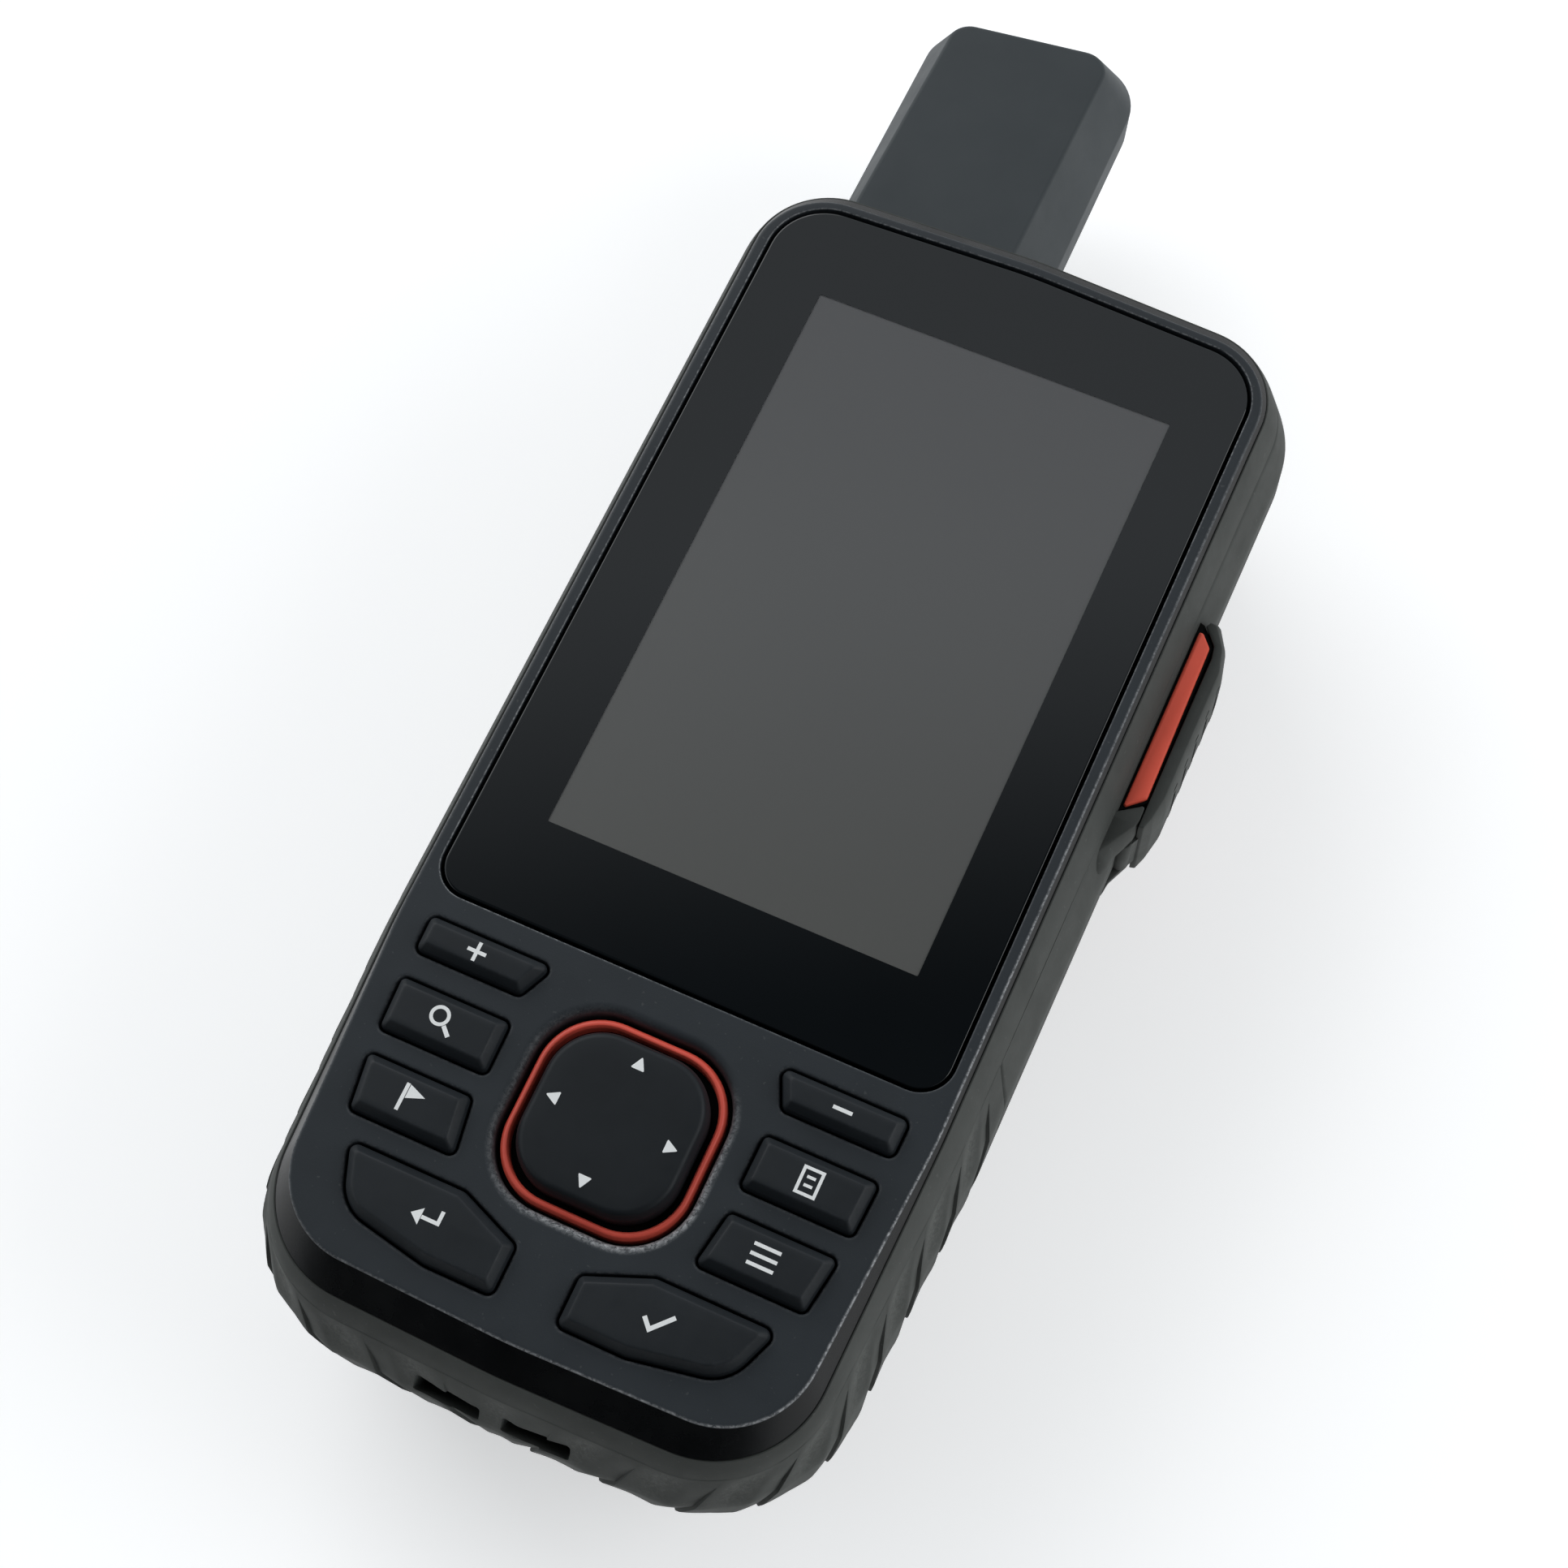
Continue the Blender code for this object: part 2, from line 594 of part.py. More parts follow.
def keys():
    flange = FACE_THICKNESS + GAP
    sections = (
        (1.15, -KEY_PROUD),
        (0.85, -KEY_PROUD + 0.15),
        (0.42, -0.25),
        (GAP, 0.1),
        (GAP, flange),
        (-0.4, flange),
        (-0.4, flange + 0.5),
    )
    for name, corners in key_corners().items():
        rings = [flat_ring(key_outline(corners, inset), depth) for inset, depth in sections]
        loft(f"key_{name}", rings, "key_black")


def four_way_pad():
    x, y = PAD_CENTRE
    ring = loft("pad_ring", [
        flat_ring(squircle(8.9, 6.0), 0.15),
        flat_ring(squircle(9.25, 6.3), 0.45),
        flat_ring(squircle(9.25, 6.3), FACE_THICKNESS + GAP),
        flat_ring(squircle(10.2, 7.0), FACE_THICKNESS + GAP),
        flat_ring(squircle(10.2, 7.0), FACE_THICKNESS + GAP + 0.6),
    ], "accent_red")
    cut(ring, slab("cut_ring", squircle(8.25, 5.5), -1.0, 4.0, None))
    sections = [
        (squircle(PAD_HALF - 1.0, 4.6), -PAD_PROUD),
        (squircle(PAD_HALF - 0.5, 4.9), -PAD_PROUD + 0.25),
        (squircle(PAD_HALF, 5.2), -PAD_PROUD + 1.0),
        (squircle(PAD_HALF, 5.2), 2.4),
    ]
    pivot = (x, y, z_at(PAD_PIVOT_DEPTH))
    pad = loft("four_way_pad", [flat_ring(outline, depth) for outline, depth in sections], "key_black", pivot)
    for i, (side_x, side_y) in enumerate(((1, 0), (-1, 0), (0, 1), (0, -1))):
        nib = circle(x + PAD_NIB_REACH * side_x, y + PAD_NIB_REACH * side_y, 0.8, 8)
        join(pad, slab(f"add_nib_{i}", nib, 2.2, 3.5, None))
    slab("pad_pivot_plate", circle(x, y, 3.2, 20), 2.7, 3.3, "white_plastic", pivot)


def keypad_layers():
    sheet = box_outline(-22.4, 22.4, -72.5, -44.0, 2.0)
    x, y = SCREW_POSTS[-1]
    layers = [
        slab("keypad_membrane", sheet, 4.0, 4.4, "seal_rubber"),
        slab("switch_board", sheet, 5.0, 5.8, "board_green"),
    ]
    for layer in layers:
        cut(layer, slab(f"cut_{layer.name}", circle(x, y, POST_RADIUS + GAP, 12), 3.0, 7.0, None))
    centres = [(side * x, y) for side in (-1, 1) for x, y in ((18.0, -46.8), (18.4, -54.0), (17.6, -61.8), (11.5, -70.8))]
    px, py = PAD_CENTRE
    reach = PAD_NIB_REACH
    centres += [(px + reach, py), (px - reach, py), (px, py + reach), (px, py - reach)]
    for i, (x, y) in enumerate(centres):
        join(layers[1], slab(f"add_dome_{i}", circle(x, y, 1.9, 10), 4.7, 5.2, None))


# ---------------------------------------------------------------- electronics
def electronics():
    board = slab("main_board", box_outline(-20.6, 20.6, -69.8, 38.6, 2.0), 7.4, 8.4, "board_green")
    for i, (x, y) in enumerate(SCREW_POSTS[:2]):
        cut(board, slab(f"cut_board_{i}", circle(x, y, POST_RADIUS + GAP, 12), 6.0, 10.0, None))
    shield = slab("radio_shield", box_outline(-18.0, 18.0, 8.0, 33.0, 0.8), 8.7, 11.2, "steel")
    cut(shield, slab("cut_shield", box_outline(-17.6, 17.6, 8.4, 32.6, 0.5), 8.0, 10.8, None))
    slab("satellite_modem", box_outline(-13.0, 5.0, 12.0, 28.0, 0.4), 8.7, 10.4, "steel")
    slab("processor_chip", box_outline(8.0, 15.0, 14.0, 21.0, 0.3), 8.7, 9.8, "seal_rubber")
    pack = [
        flat_ring(box_outline(-18.6, 18.6, -62.6, -0.4, 2.4), 10.0),
        flat_ring(box_outline(-19.0, 19.0, -63.0, 0.0, 2.8), 10.6),
        flat_ring(box_outline(-19.0, 19.0, -63.0, 0.0, 2.8), 23.4),
        flat_ring(box_outline(-18.6, 18.6, -62.6, -0.4, 2.4), 24.0),
    ]
    loft("battery_pack", pack, "battery_blue")
    slab("battery_foam", box_outline(-16.0, 16.0, -58.0, -4.0, 1.0), 24.3, 26.3, "seal_rubber")
    slab("battery_connector", box_outline(-4.0, 4.0, -69.4, -65.0, 0.3), 8.7, 11.2, "white_plastic")
    sos_y = (SOS_BUTTON[0] + SOS_BUTTON[1]) / 2
    slab("sos_switch", box_outline(19.6, 24.4, sos_y - 2.2, sos_y + 2.2, 0.3), 8.7, 13.2, "seal_rubber")
    slab("power_switch", box_outline(POWER_X - 2.2, POWER_X + 2.2, 35.4, 39.8, 0.3), 8.7, 13.6, "seal_rubber")
    slab("buzzer_disc", circle(*BUZZER_CENTRE, 5.0, 24), 25.2, 26.3, "copper")


# ---------------------------------------------------------------- back: spine, screws, caps, lamp
SPINE_SCREWS = (-34.0, 8.0)
BUZZER_CENTRE = (13.5, 9.5)
LAMP_CENTRE = (0.0, 30.5)
LAMP_RADIUS = 3.4
CAP_CENTRE = (15.5, 26.5)
CAP_HALF = (4.6, 7.2)
CAP_SEAT_DEPTH = 1.5
CAP_WAYS = {"port": (1, 2.7, -3.2, 5.6), "card": (-1, 2.0, -5.7, 6.1)}


def mounting_spine():
    """The T-section rail that clips and cradles slide on to. Its flat face is what the part rests on."""
    low, high = SPINE_Y
    narrow = box_outline(-6.8, 6.8, low + 1.2, high - 1.2, 3.0, 4)
    wide = box_outline(-SPINE_HALF, SPINE_HALF, low, high, 4.0, 4)
    rings = [
        flat_ring(moved_in(wide, 0.3), FACE_Z),
        flat_ring(wide, FACE_Z - 0.3),
        flat_ring(wide, FACE_Z - 1.5),
        flat_ring(narrow, FACE_Z - 1.8),
        flat_ring(narrow, REAR_FLAT_DEPTH + GAP),
    ]
    spine = loft("mounting_spine", rings, "hard_black")
    for i, y in enumerate(SPINE_SCREWS):
        cut(spine, slab(f"cut_spine_{i}", circle(0.0, y, SCREW_SHANK + GAP, 12), 28.0, 35.0, None))
        cut(spine, slab(f"cut_spine_head_{i}", circle(0.0, y, SCREW_HEAD + GAP, 12), 31.4, 35.0, None))
    for i in range(3):
        y = high - 12.0 - 9.0 * i
        cut(spine, box(f"cut_detent_{i}", (-5.0, 5.0), (y - 1.2, y + 1.2), (FACE_Z - 0.8, FACE_Z + 1.0), None))


def screw(name, x, y, head_top, head_bottom, tip):
    """A pan-head screw that points towards the front face, with a hexagonal socket."""
    rings = [
        flat_ring(circle(x, y, SCREW_HEAD, 16), head_bottom),
        flat_ring(circle(x, y, SCREW_HEAD, 16), head_top),
        flat_ring(circle(x, y, SCREW_SHANK, 16), head_top),
        flat_ring(circle(x, y, SCREW_SHANK, 16), tip),
    ]
    made = loft(name, rings, "steel")
    return cut(made, slab(f"cut_socket_{name}", circle(x, y, 0.8, 6), head_bottom - 0.6, head_bottom + 1.0, None))


def screws():
    for i, (x, y) in enumerate(SCREW_POSTS):
        screw(f"housing_screw_{i + 1}", x, y, 28.4, 29.4, 18.0)
    for i, y in enumerate(SPINE_SCREWS):
        screw(f"spine_screw_{i + 1}", 0.0, y, 31.7, 32.9, 27.6)


def cap_seats(name):
    """The shallow seat that a weather cap closes, and the way through to the port behind it."""
    side, way_half, way_low, way_high = CAP_WAYS[name]
    x, y = side * CAP_CENTRE[0], CAP_CENTRE[1]
    half_x, half_y = CAP_HALF
    seat = box_outline(x - half_x - GAP, x + half_x + GAP, y - half_y - 1.3, y + half_y + GAP, 0.8)
    way = box_outline(x - way_half, x + way_half, y + way_low, y + way_high, 0.6)
    return [
        slab(f"cut_{name}_seat", seat, REAR_FLAT_DEPTH - CAP_SEAT_DEPTH, 31.0, None),
        slab(f"cut_{name}_way", way, 25.0, 31.0, None),
    ]


def weather_cap(name):
    """A soft cap that bends open at its lower end. Its plug fills the way to the port."""
    side, way_half, way_low, way_high = CAP_WAYS[name]
    x, y = side * CAP_CENTRE[0], CAP_CENTRE[1]
    half_x, half_y = CAP_HALF
    hinge = (x, y - half_y, z_at(REAR_FLAT_DEPTH))
    plate = box_outline(x - half_x, x + half_x, y - half_y, y + half_y, 0.8)
    plug = box_outline(x - way_half + 0.4, x + way_half - 0.4, y + way_low + 0.8, y + way_high - 0.4, 0.5)
    cap = loft(f"{name}_cap", [
        flat_ring(moved_in(plate, 0.2), REAR_FLAT_DEPTH),
        flat_ring(plate, REAR_FLAT_DEPTH - 0.2),
        flat_ring(plate, REAR_FLAT_DEPTH - 1.1),
        flat_ring(plug, REAR_FLAT_DEPTH - 1.1),
        flat_ring(plug, REAR_FLAT_DEPTH - 2.2),
    ], "rubber_grey", hinge)
    tab = box_outline(x - 1.6, x + 1.6, y + half_y - 2.6, y + half_y - 1.4, 0.3)
    return join(cap, slab(f"add_tab_{name}", tab, REAR_FLAT_DEPTH - 0.4, REAR_FLAT_DEPTH + 0.7, None))


def ports():
    for name, mouth, node in (("port", (1.5, 3.6), "usb_port"), ("card", (0.7, 5.6), "card_socket")):
        side, way_half, way_low, way_high = CAP_WAYS[name]
        x, y = side * CAP_CENTRE[0], CAP_CENTRE[1] + (way_low + way_high) / 2
        outside = box_outline(x - mouth[0] - 0.8, x + mouth[0] + 0.8, y - mouth[1] - 0.8, y + mouth[1] + 0.8, 0.5)
        shell = slab(node, outside, 20.4, 26.2, "steel")
        inside = box_outline(x - mouth[0], x + mouth[0], y - mouth[1], y + mouth[1], 0.4)
        cut(shell, slab(f"cut_{node}", inside, 21.4, 27.0, None))


def lamp():
    x, y = LAMP_CENTRE
    rings = [
        flat_ring(circle(x, y, LAMP_RADIUS - 0.3, 20), REAR_FLAT_DEPTH - 0.2),
        flat_ring(circle(x, y, LAMP_RADIUS, 20), REAR_FLAT_DEPTH - 0.5),
        flat_ring(circle(x, y, LAMP_RADIUS, 20), REAR_FLAT_DEPTH - 2.4),
    ]
    loft("lamp_lens", rings, "white_plastic")
    slab("lamp_led", box_outline(x - 1.5, x + 1.5, y - 1.5, y + 1.5, 0.2), 25.6, 26.8, "white_plastic")


# ---------------------------------------------------------------- power button and SOS flap
POWER_X = 13.0
POWER_DEPTH = 12.0
POWER_HALF = (4.6, 2.1)


def end_outline(x_half, z_half, centre_x, centre_depth, y, radius):
    outline = box_outline(-x_half, x_half, -z_half, z_half, radius, 4)
    return [(centre_x + a, y, z_at(centre_depth) + b) for a, b in outline]


def power_shaft(name, grow, finish):
    half_x, half_z = POWER_HALF[0] + grow, POWER_HALF[1] + grow
    rings = [end_outline(half_x, half_z, POWER_X, POWER_DEPTH, y, 1.9) for y in (41.0, 50.0)]
    return loft(name, rings, finish)


def power_button():
    half_x, half_z = POWER_HALF
    rings = []
    for y, grow in ((40.9, 0.8), (41.7, 0.8), (41.7, 0.0), (45.8, 0.0), (46.2, -0.4)):
        rings.append(end_outline(half_x + grow, half_z + grow, POWER_X, POWER_DEPTH, y, 1.9 + min(grow, 0.0)))
    return loft("power_button", rings, "key_black")


# The SOS unit's extents on the right-hand side: lowest y, highest y, least depth, greatest depth.
SOS_FRAME = (-10.6, 15.2, 5.4, 17.2)
SOS_BUTTON = (-1.4, 7.6, 8.7, 13.9)
SOS_HINGE = (31.2, -9.2)
SOS_BARREL_RADIUS = 0.9
SOS_BARREL_DEPTHS = (8.2, 14.4)
SOS_PIN_RADIUS = 0.35


def sos_grown(extents, grow):
    low, high, near, far = extents
    return (low - grow, high + grow, near - grow, far + grow)


def side_ring(extents, x, radius):
    """A ring that lies flat against the right-hand side wall."""
    low, high, near, far = extents
    return [(x, y, z_at(depth)) for y, depth in box_outline(low, high, near, far, radius, 3)]


def sos_seat(name, extents, x_span, finish, radius):
    return loft(name, [side_ring(extents, x, radius) for x in x_span], finish)


def sos_rod(name, radius, depths, count=16):
    return slab(name, circle(*SOS_HINGE, radius, count), *depths, None)


def sos_unit():
    """The red frame and guarded button on the right-hand side, under a flap that swings on a steel pin."""
    frame = sos_seat("sos_frame", SOS_FRAME, (29.35, 31.2), "accent_red", 1.8)
    cut(frame, sos_seat("cut_sos_frame", sos_grown(SOS_BUTTON, GAP), (28.0, 33.0), None, 1.5))
    near, far = SOS_BARREL_DEPTHS
    for i, ear in enumerate(((near - 1.8, near - GAP), (far + GAP, far + 1.8))):
        join(frame, sos_rod(f"add_ear_{i}", SOS_BARREL_RADIUS, ear))
    cut(frame, sos_rod("cut_barrel_room", SOS_BARREL_RADIUS + GAP, (near - GAP, far + GAP)))
    cut(frame, sos_rod("cut_pin_room", SOS_PIN_RADIUS + 0.05, (near - 1.4, far + 1.4), 10))

    button = [side_ring(sos_grown(SOS_BUTTON, 0.7), x, 1.2) for x in (25.5, 26.3)]
    button += [side_ring(SOS_BUTTON, x, 1.2) for x in (26.3, 30.9)]
    button.append(side_ring(sos_grown(SOS_BUTTON, -0.3), 31.1, 1.0))
    loft("sos_button", button, "accent_red")

    x, y = SOS_HINGE
    hinge = (x, y, z_at((near + far) / 2))
    levels = (
        ((y + 1.4, 15.6, 5.5, 17.1), 31.5, 1.6),
        ((y + 1.5, 15.0, 5.6, 17.0), 32.0, 1.7),
        ((y + 2.8, 12.8, 6.1, 16.5), 33.4, 2.0),
        ((y + 3.6, 11.6, 6.5, 16.1), 33.8, 2.0),
    )
    flap = loft("sos_flap", [side_ring(*level) for level in levels], "rubber_grey", hinge)
    knuckle = slab("add_knuckle", circle(x, y, SOS_BARREL_RADIUS, 16), near, far, None)
    arm = box("add_arm", (x + 0.35, x + SOS_BARREL_RADIUS), (y, y + 1.8), (near, far), None)
    join(flap, knuckle, arm)
    cut(flap, sos_rod("cut_flap_bore", SOS_PIN_RADIUS + 0.1, (near - 1, far + 1), 10))
    slab("sos_hinge_pin", circle(x, y, SOS_PIN_RADIUS, 10), near - 1.3, far + 1.3, "steel")


def main():
    start_clean()
    front_housing()
    rear_housing()
    overmould()
    grip()
    housing_seal()
    aerial_cover()
    aerial_parts()
    aerial_lead()
    display_stack()
    keys()
    four_way_pad()
    keypad_layers()
    electronics()
    mounting_spine()
    screws()
    ports()
    weather_cap("port")
    weather_cap("card")
    lamp()
    power_button()
    sos_unit()


main()
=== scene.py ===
"""Handheld satellite navigator: the fine surface, materials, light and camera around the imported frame.

All sizes are in millimetres until MM turns them into metres. "depth" runs from the face towards the back.
"""

import math

import bmesh
import bpy
import numpy as np
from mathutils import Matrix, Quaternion, Vector
from mathutils.geometry import tessellate_polygon


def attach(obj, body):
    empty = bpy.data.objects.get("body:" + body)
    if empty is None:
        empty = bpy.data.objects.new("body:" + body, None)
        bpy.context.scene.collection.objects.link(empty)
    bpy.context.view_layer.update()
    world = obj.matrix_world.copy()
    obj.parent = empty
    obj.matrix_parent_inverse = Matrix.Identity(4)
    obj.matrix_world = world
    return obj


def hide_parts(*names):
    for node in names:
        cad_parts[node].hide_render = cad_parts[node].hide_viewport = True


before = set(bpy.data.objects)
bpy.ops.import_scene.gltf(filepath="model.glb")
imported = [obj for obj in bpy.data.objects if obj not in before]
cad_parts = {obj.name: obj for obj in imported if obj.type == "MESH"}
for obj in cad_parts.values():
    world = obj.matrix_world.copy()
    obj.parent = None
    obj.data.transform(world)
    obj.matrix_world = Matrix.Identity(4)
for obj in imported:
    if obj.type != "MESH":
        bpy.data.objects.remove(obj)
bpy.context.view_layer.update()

MM = 0.001
FACE_Z = 33.5


# ================================================================ outlines
def corner(here, before, after, radius, steps, limited):
    """The arc round one corner as steps + 1 points. A limited arc takes up less than half of each side."""
    here = np.array(here, float)
    a, b = np.array(before, float) - here, np.array(after, float) - here
    limit = min(np.hypot(*a), np.hypot(*b)) * 0.49
    a /= np.hypot(*a)
    b /= np.hypot(*b)
    half = math.acos(max(-1.0, min(1.0, float(a @ b)))) / 2
    reach = radius / math.tan(half)
    if limited:
        reach = min(reach, limit)
        radius = reach * math.tan(half)
    middle = a + b
    middle /= np.hypot(*middle)
    centre = here + middle * radius / math.sin(half)
    first, last = here + a * reach - centre, here + b * reach - centre
    start = math.atan2(first[1], first[0])
    sweep = (math.atan2(last[1], last[0]) - start + math.pi) % (2 * math.pi) - math.pi
    angles = [start + sweep * k / steps for k in range(steps + 1)]
    return [(centre[0] + radius * math.cos(q), centre[1] + radius * math.sin(q)) for q in angles]


def rounded(corners, steps=12):
    """A closed outline through (x, y, radius) corners."""
    outline = []
    for i, (x, y, radius) in enumerate(corners):
        after = corners[(i + 1) % len(corners)]
        outline += corner((x, y), corners[i - 1][:2], after[:2], radius, steps, False) if radius > 0 else [(x, y)]
    return np.array(outline)


def moved_in(outline, inset):
    """An outline moved inwards along its corners' bisectors."""
    points = np.asarray(outline, float)
    after = np.roll(points, -1, 0)
    area = np.sum(points[:, 0] * after[:, 1] - after[:, 0] * points[:, 1])
    side = 1.0 if area > 0 else -1.0
    along = after - points
    along /= np.maximum(np.hypot(along[:, 0], along[:, 1])[:, None], 1e-9)
    normal = np.stack([-along[:, 1], along[:, 0]], 1) * side
    total = normal + np.roll(normal, 1, 0)
    return points + 2 * inset * total / np.sum(total * total, 1)[:, None]


def key_ring(corners, inset, steps=8):
    sharp = moved_in([(x, y) for x, y, _ in corners], inset)
    return rounded([(p[0], p[1], max(c[2] - inset, 0.3)) for p, c in zip(sharp, corners)], steps)


def box_ring(x, y, half_x, half_y, radius, steps=8):
    corners = ((-1, -1), (1, -1), (1, 1), (-1, 1))
    return rounded([(x + half_x * a, y + half_y * b, radius) for a, b in corners], steps)


def circle(x, y, radius, count=48):
    angles = np.arange(count) * 2 * math.pi / count
    return np.stack([x + radius * np.cos(angles), y + radius * np.sin(angles)], 1)


def lifted(outline, depth):
    """An outline as (x, y, z) points. depth is one number or one for each point."""
    outline = np.asarray(outline)
    z = FACE_Z - np.broadcast_to(np.asarray(depth, float), (len(outline),))
    return np.column_stack([outline, z])


def fillet(profile, steps=5):
    """(a, b, radius) profile points as an open line with its corners rounded."""
    result = []
    for i, (a, b, radius) in enumerate(profile):
        inner = radius > 0 and 0 < i < len(profile) - 1
        result += corner((a, b), profile[i - 1][:2], profile[i + 1][:2], radius, steps, True) if inner else [(a, b)]
    return result


# Body profile: depth, half width, half width at the chin, top, chin, top radius, chin radius.
BODY_PROFILE = np.array((
    (0.0, 27.4, 25.3, 42.2, -77.7, 7.5, 9.0),
    (1.2, 28.0, 26.1, 43.2, -79.4, 8.2, 9.9),
    (2.6, 28.5, 26.7, 43.9, -80.6, 8.7, 10.6),
    (4.7, 29.35, 27.4, 44.8, -82.1, 9.9, 12.2),
    (9.3, 30.85, 28.95, 46.4, -84.35, 12.0, 15.0),
    (14.0, 30.85, 28.95, 46.4, -84.25, 12.0, 15.0),
    (20.0, 30.15, 28.25, 45.9, -83.1, 12.0, 15.0),
    (26.0, 28.3, 26.5, 44.7, -80.9, 12.0, 14.0),
    (29.6, 25.8, 24.0, 42.4, -77.8, 10.0, 12.0),
))


def body_ring(depth, inset=0.0, steps=20):
    half, chin_half, top, chin, top_r, chin_r = (
        np.interp(depth, BODY_PROFILE[:, 0], BODY_PROFILE[:, k]) for k in range(1, 7))
    half, chin_half, top, chin = half - inset, chin_half - inset, top - inset, chin + inset
    top_r, chin_r = max(top_r - inset, 1.0), max(chin_r - inset, 1.0)
    right = [(half, top - 1.1, top_r), (half, -46.0, 60.0), (chin_half, chin + 0.7, chin_r)]
    left = [(-x, y, r) for x, y, r in reversed(right)]
    return rounded([(0.0, top, 60.0), *right, (0.0, chin, 80.0), *left], steps)


def front_ring(inset, steps=20):
    return body_ring(0.0, inset, steps)


def brim_ring(outset=0.0, steps=20):
    """The lower edge of the front frame's chamfer and its depth: narrow at the sides, broad round the chin."""
    right = [(27.72 + outset, 42.05 + outset, 8.1 + outset), (27.68 + outset, -46.0, 60.0),
             (26.6 + outset, -79.7 - outset, 10.6 + outset)]
    left = [(-x, y, r) for x, y, r in reversed(right)]
    ring = rounded([(0.0, 43.15 + outset, 60.0), *right, (0.0, -80.4 - outset, 80.0), *left], steps)
    chin = np.clip((-50.0 - ring[:, 1]) / 26.0, 0.0, 1.0)
    return ring, 0.85 + 1.6 * chin * chin * (3 - 2 * chin)


KEYS_RIGHT = {
    "key_zoom_out": [(11.3, -44.8, 0.9), (24.5, -44.8, 0.9), (24.4, -48.9, 0.9), (13.2, -48.9, 0.9)],
    "key_page": [(12.7, -51.2, 0.8), (24.3, -51.2, 0.8), (24.0, -56.9, 0.8), (12.6, -56.9, 0.8)],
    "key_menu": [(12.8, -58.9, 0.8), (23.8, -58.9, 0.8), (22.9, -64.8, 0.8), (11.8, -64.8, 0.8)],
    "key_enter": [(3.0, -69.5, 0.9), (9.5, -66.9, 1.5), (21.6, -66.9, 1.0), (19.2, -73.0, 4.5),
                  (10.0, -74.7, 3.0), (3.0, -74.7, 0.9)],
}
TWINS = {"key_zoom_out": "key_zoom_in", "key_page": "key_find", "key_menu": "key_mark", "key_enter": "key_quit"}
KEYS = dict(KEYS_RIGHT)
for right_name, left_name in TWINS.items():
    KEYS[left_name] = [(-x, y, r) for x, y, r in reversed(KEYS_RIGHT[right_name])]
PAD_X, PAD_Y = 0.0, -56.3
GLASS = [(0.0, 41.2, 60.0), (26.2, 40.2, 6.2), (26.2, -42.4, 3.5), (-26.2, -42.4, 3.5), (-26.2, 40.2, 6.2)]


def glass_ring(inset, steps=14):
    return rounded([(x - inset * float(np.sign(x)), y - inset * float(np.sign(y)), max(r - inset, 0.5))
                    for x, y, r in GLASS], steps)


# ================================================================ meshes
def add_mesh(name, verts, faces, materials, body, stands_for=(), face_slots=None, sharp=32, wear_and_sheen=None):
    mesh = bpy.data.meshes.new(name)
    mesh.from_pydata([tuple(v) for v in np.asarray(verts, float) * MM], [], [tuple(int(i) for i in f) for f in faces])
    for made in materials:
        mesh.materials.append(made)
    if face_slots is not None:
        mesh.polygons.foreach_set("material_index", np.asarray(face_slots, dtype=np.int32))
    if wear_and_sheen is not None:
        # The per-vertex value lightens the surface: real wear in places, painted highlight in others.
        layer = mesh.attributes.new("wear_and_sheen", "FLOAT", "POINT")
        layer.data.foreach_set("value", np.asarray(wear_and_sheen, dtype=np.float32))
    mesh.validate()
    builder = bmesh.new()
    builder.from_mesh(mesh)
    bmesh.ops.recalc_face_normals(builder, faces=builder.faces)
    builder.to_mesh(mesh)
    builder.free()
    mesh.shade_smooth()
    mesh.set_sharp_from_angle(angle=math.radians(sharp))
    made = bpy.data.objects.new(name, mesh)
    bpy.context.scene.collection.objects.link(made)
    settle(made, body, stands_for)
    return made


def settle(made, body, stands_for=()):
    if body:
        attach(made, body)
    if stands_for:
        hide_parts(*stands_for)


class Skin:
    """Collects vertices, faces and one lightening value for each vertex: real abrasion in some places, painted
    highlight in others.
    """

    def __init__(self):
        self.verts, self.faces, self.slots, self.wear_and_sheen = [], [], [], []

    def ring(self, points, wear_and_sheen=0.0):
        start = len(self.verts)
        self.verts.extend(np.asarray(points, float).tolist())
        self.wear_and_sheen.extend(np.broadcast_to(np.asarray(wear_and_sheen, float), (len(points),)).tolist())
        return list(range(start, start + len(points)))

    def strip(self, lower, upper, closed=True, slot=0):
        count = len(lower)
        for i in range(count if closed else count - 1):
            after = (i + 1) % count
            self.faces.append((lower[i], lower[after], upper[after], upper[i]))
            self.slots.append(slot)

    def fill(self, loops, slot=0):
        """Fills between an outer loop and the holes in it."""
        flat = [[Vector(self.verts[i]) for i in loop] for loop in loops]
        index = [i for loop in loops for i in loop]
        for triangle in tessellate_polygon(flat):
            self.faces.append(tuple(index[k] for k in triangle))
            self.slots.append(slot)

    def loft(self, rings, wear_and_sheen_rows=None, slot=0, cap_first=False, cap_last=False):
        rows = [self.ring(ring, 0.0 if wear_and_sheen_rows is None else wear_and_sheen_rows[k]) for k, ring in enumerate(rings)]
        for lower, upper in zip(rows, rows[1:]):
            self.strip(lower, upper, slot=slot)
        if cap_first:
            self.fill([rows[0]], slot)
        if cap_last:
            self.fill([rows[-1]], slot)
        return rows

    def solid(self, rings, wear_and_sheen_rows=None):
        return self.loft(rings, wear_and_sheen_rows, cap_first=True, cap_last=True)

    def build(self, name, materials, body, node=None, sharp=32, slot=None):
        """node is the CAD node that the piece replaces, which is hidden. slot is not used."""
        stands_for = [node] if node else ()
        return add_mesh(name, self.verts, self.faces, materials, body, stands_for, self.slots, sharp,
                        self.wear_and_sheen)


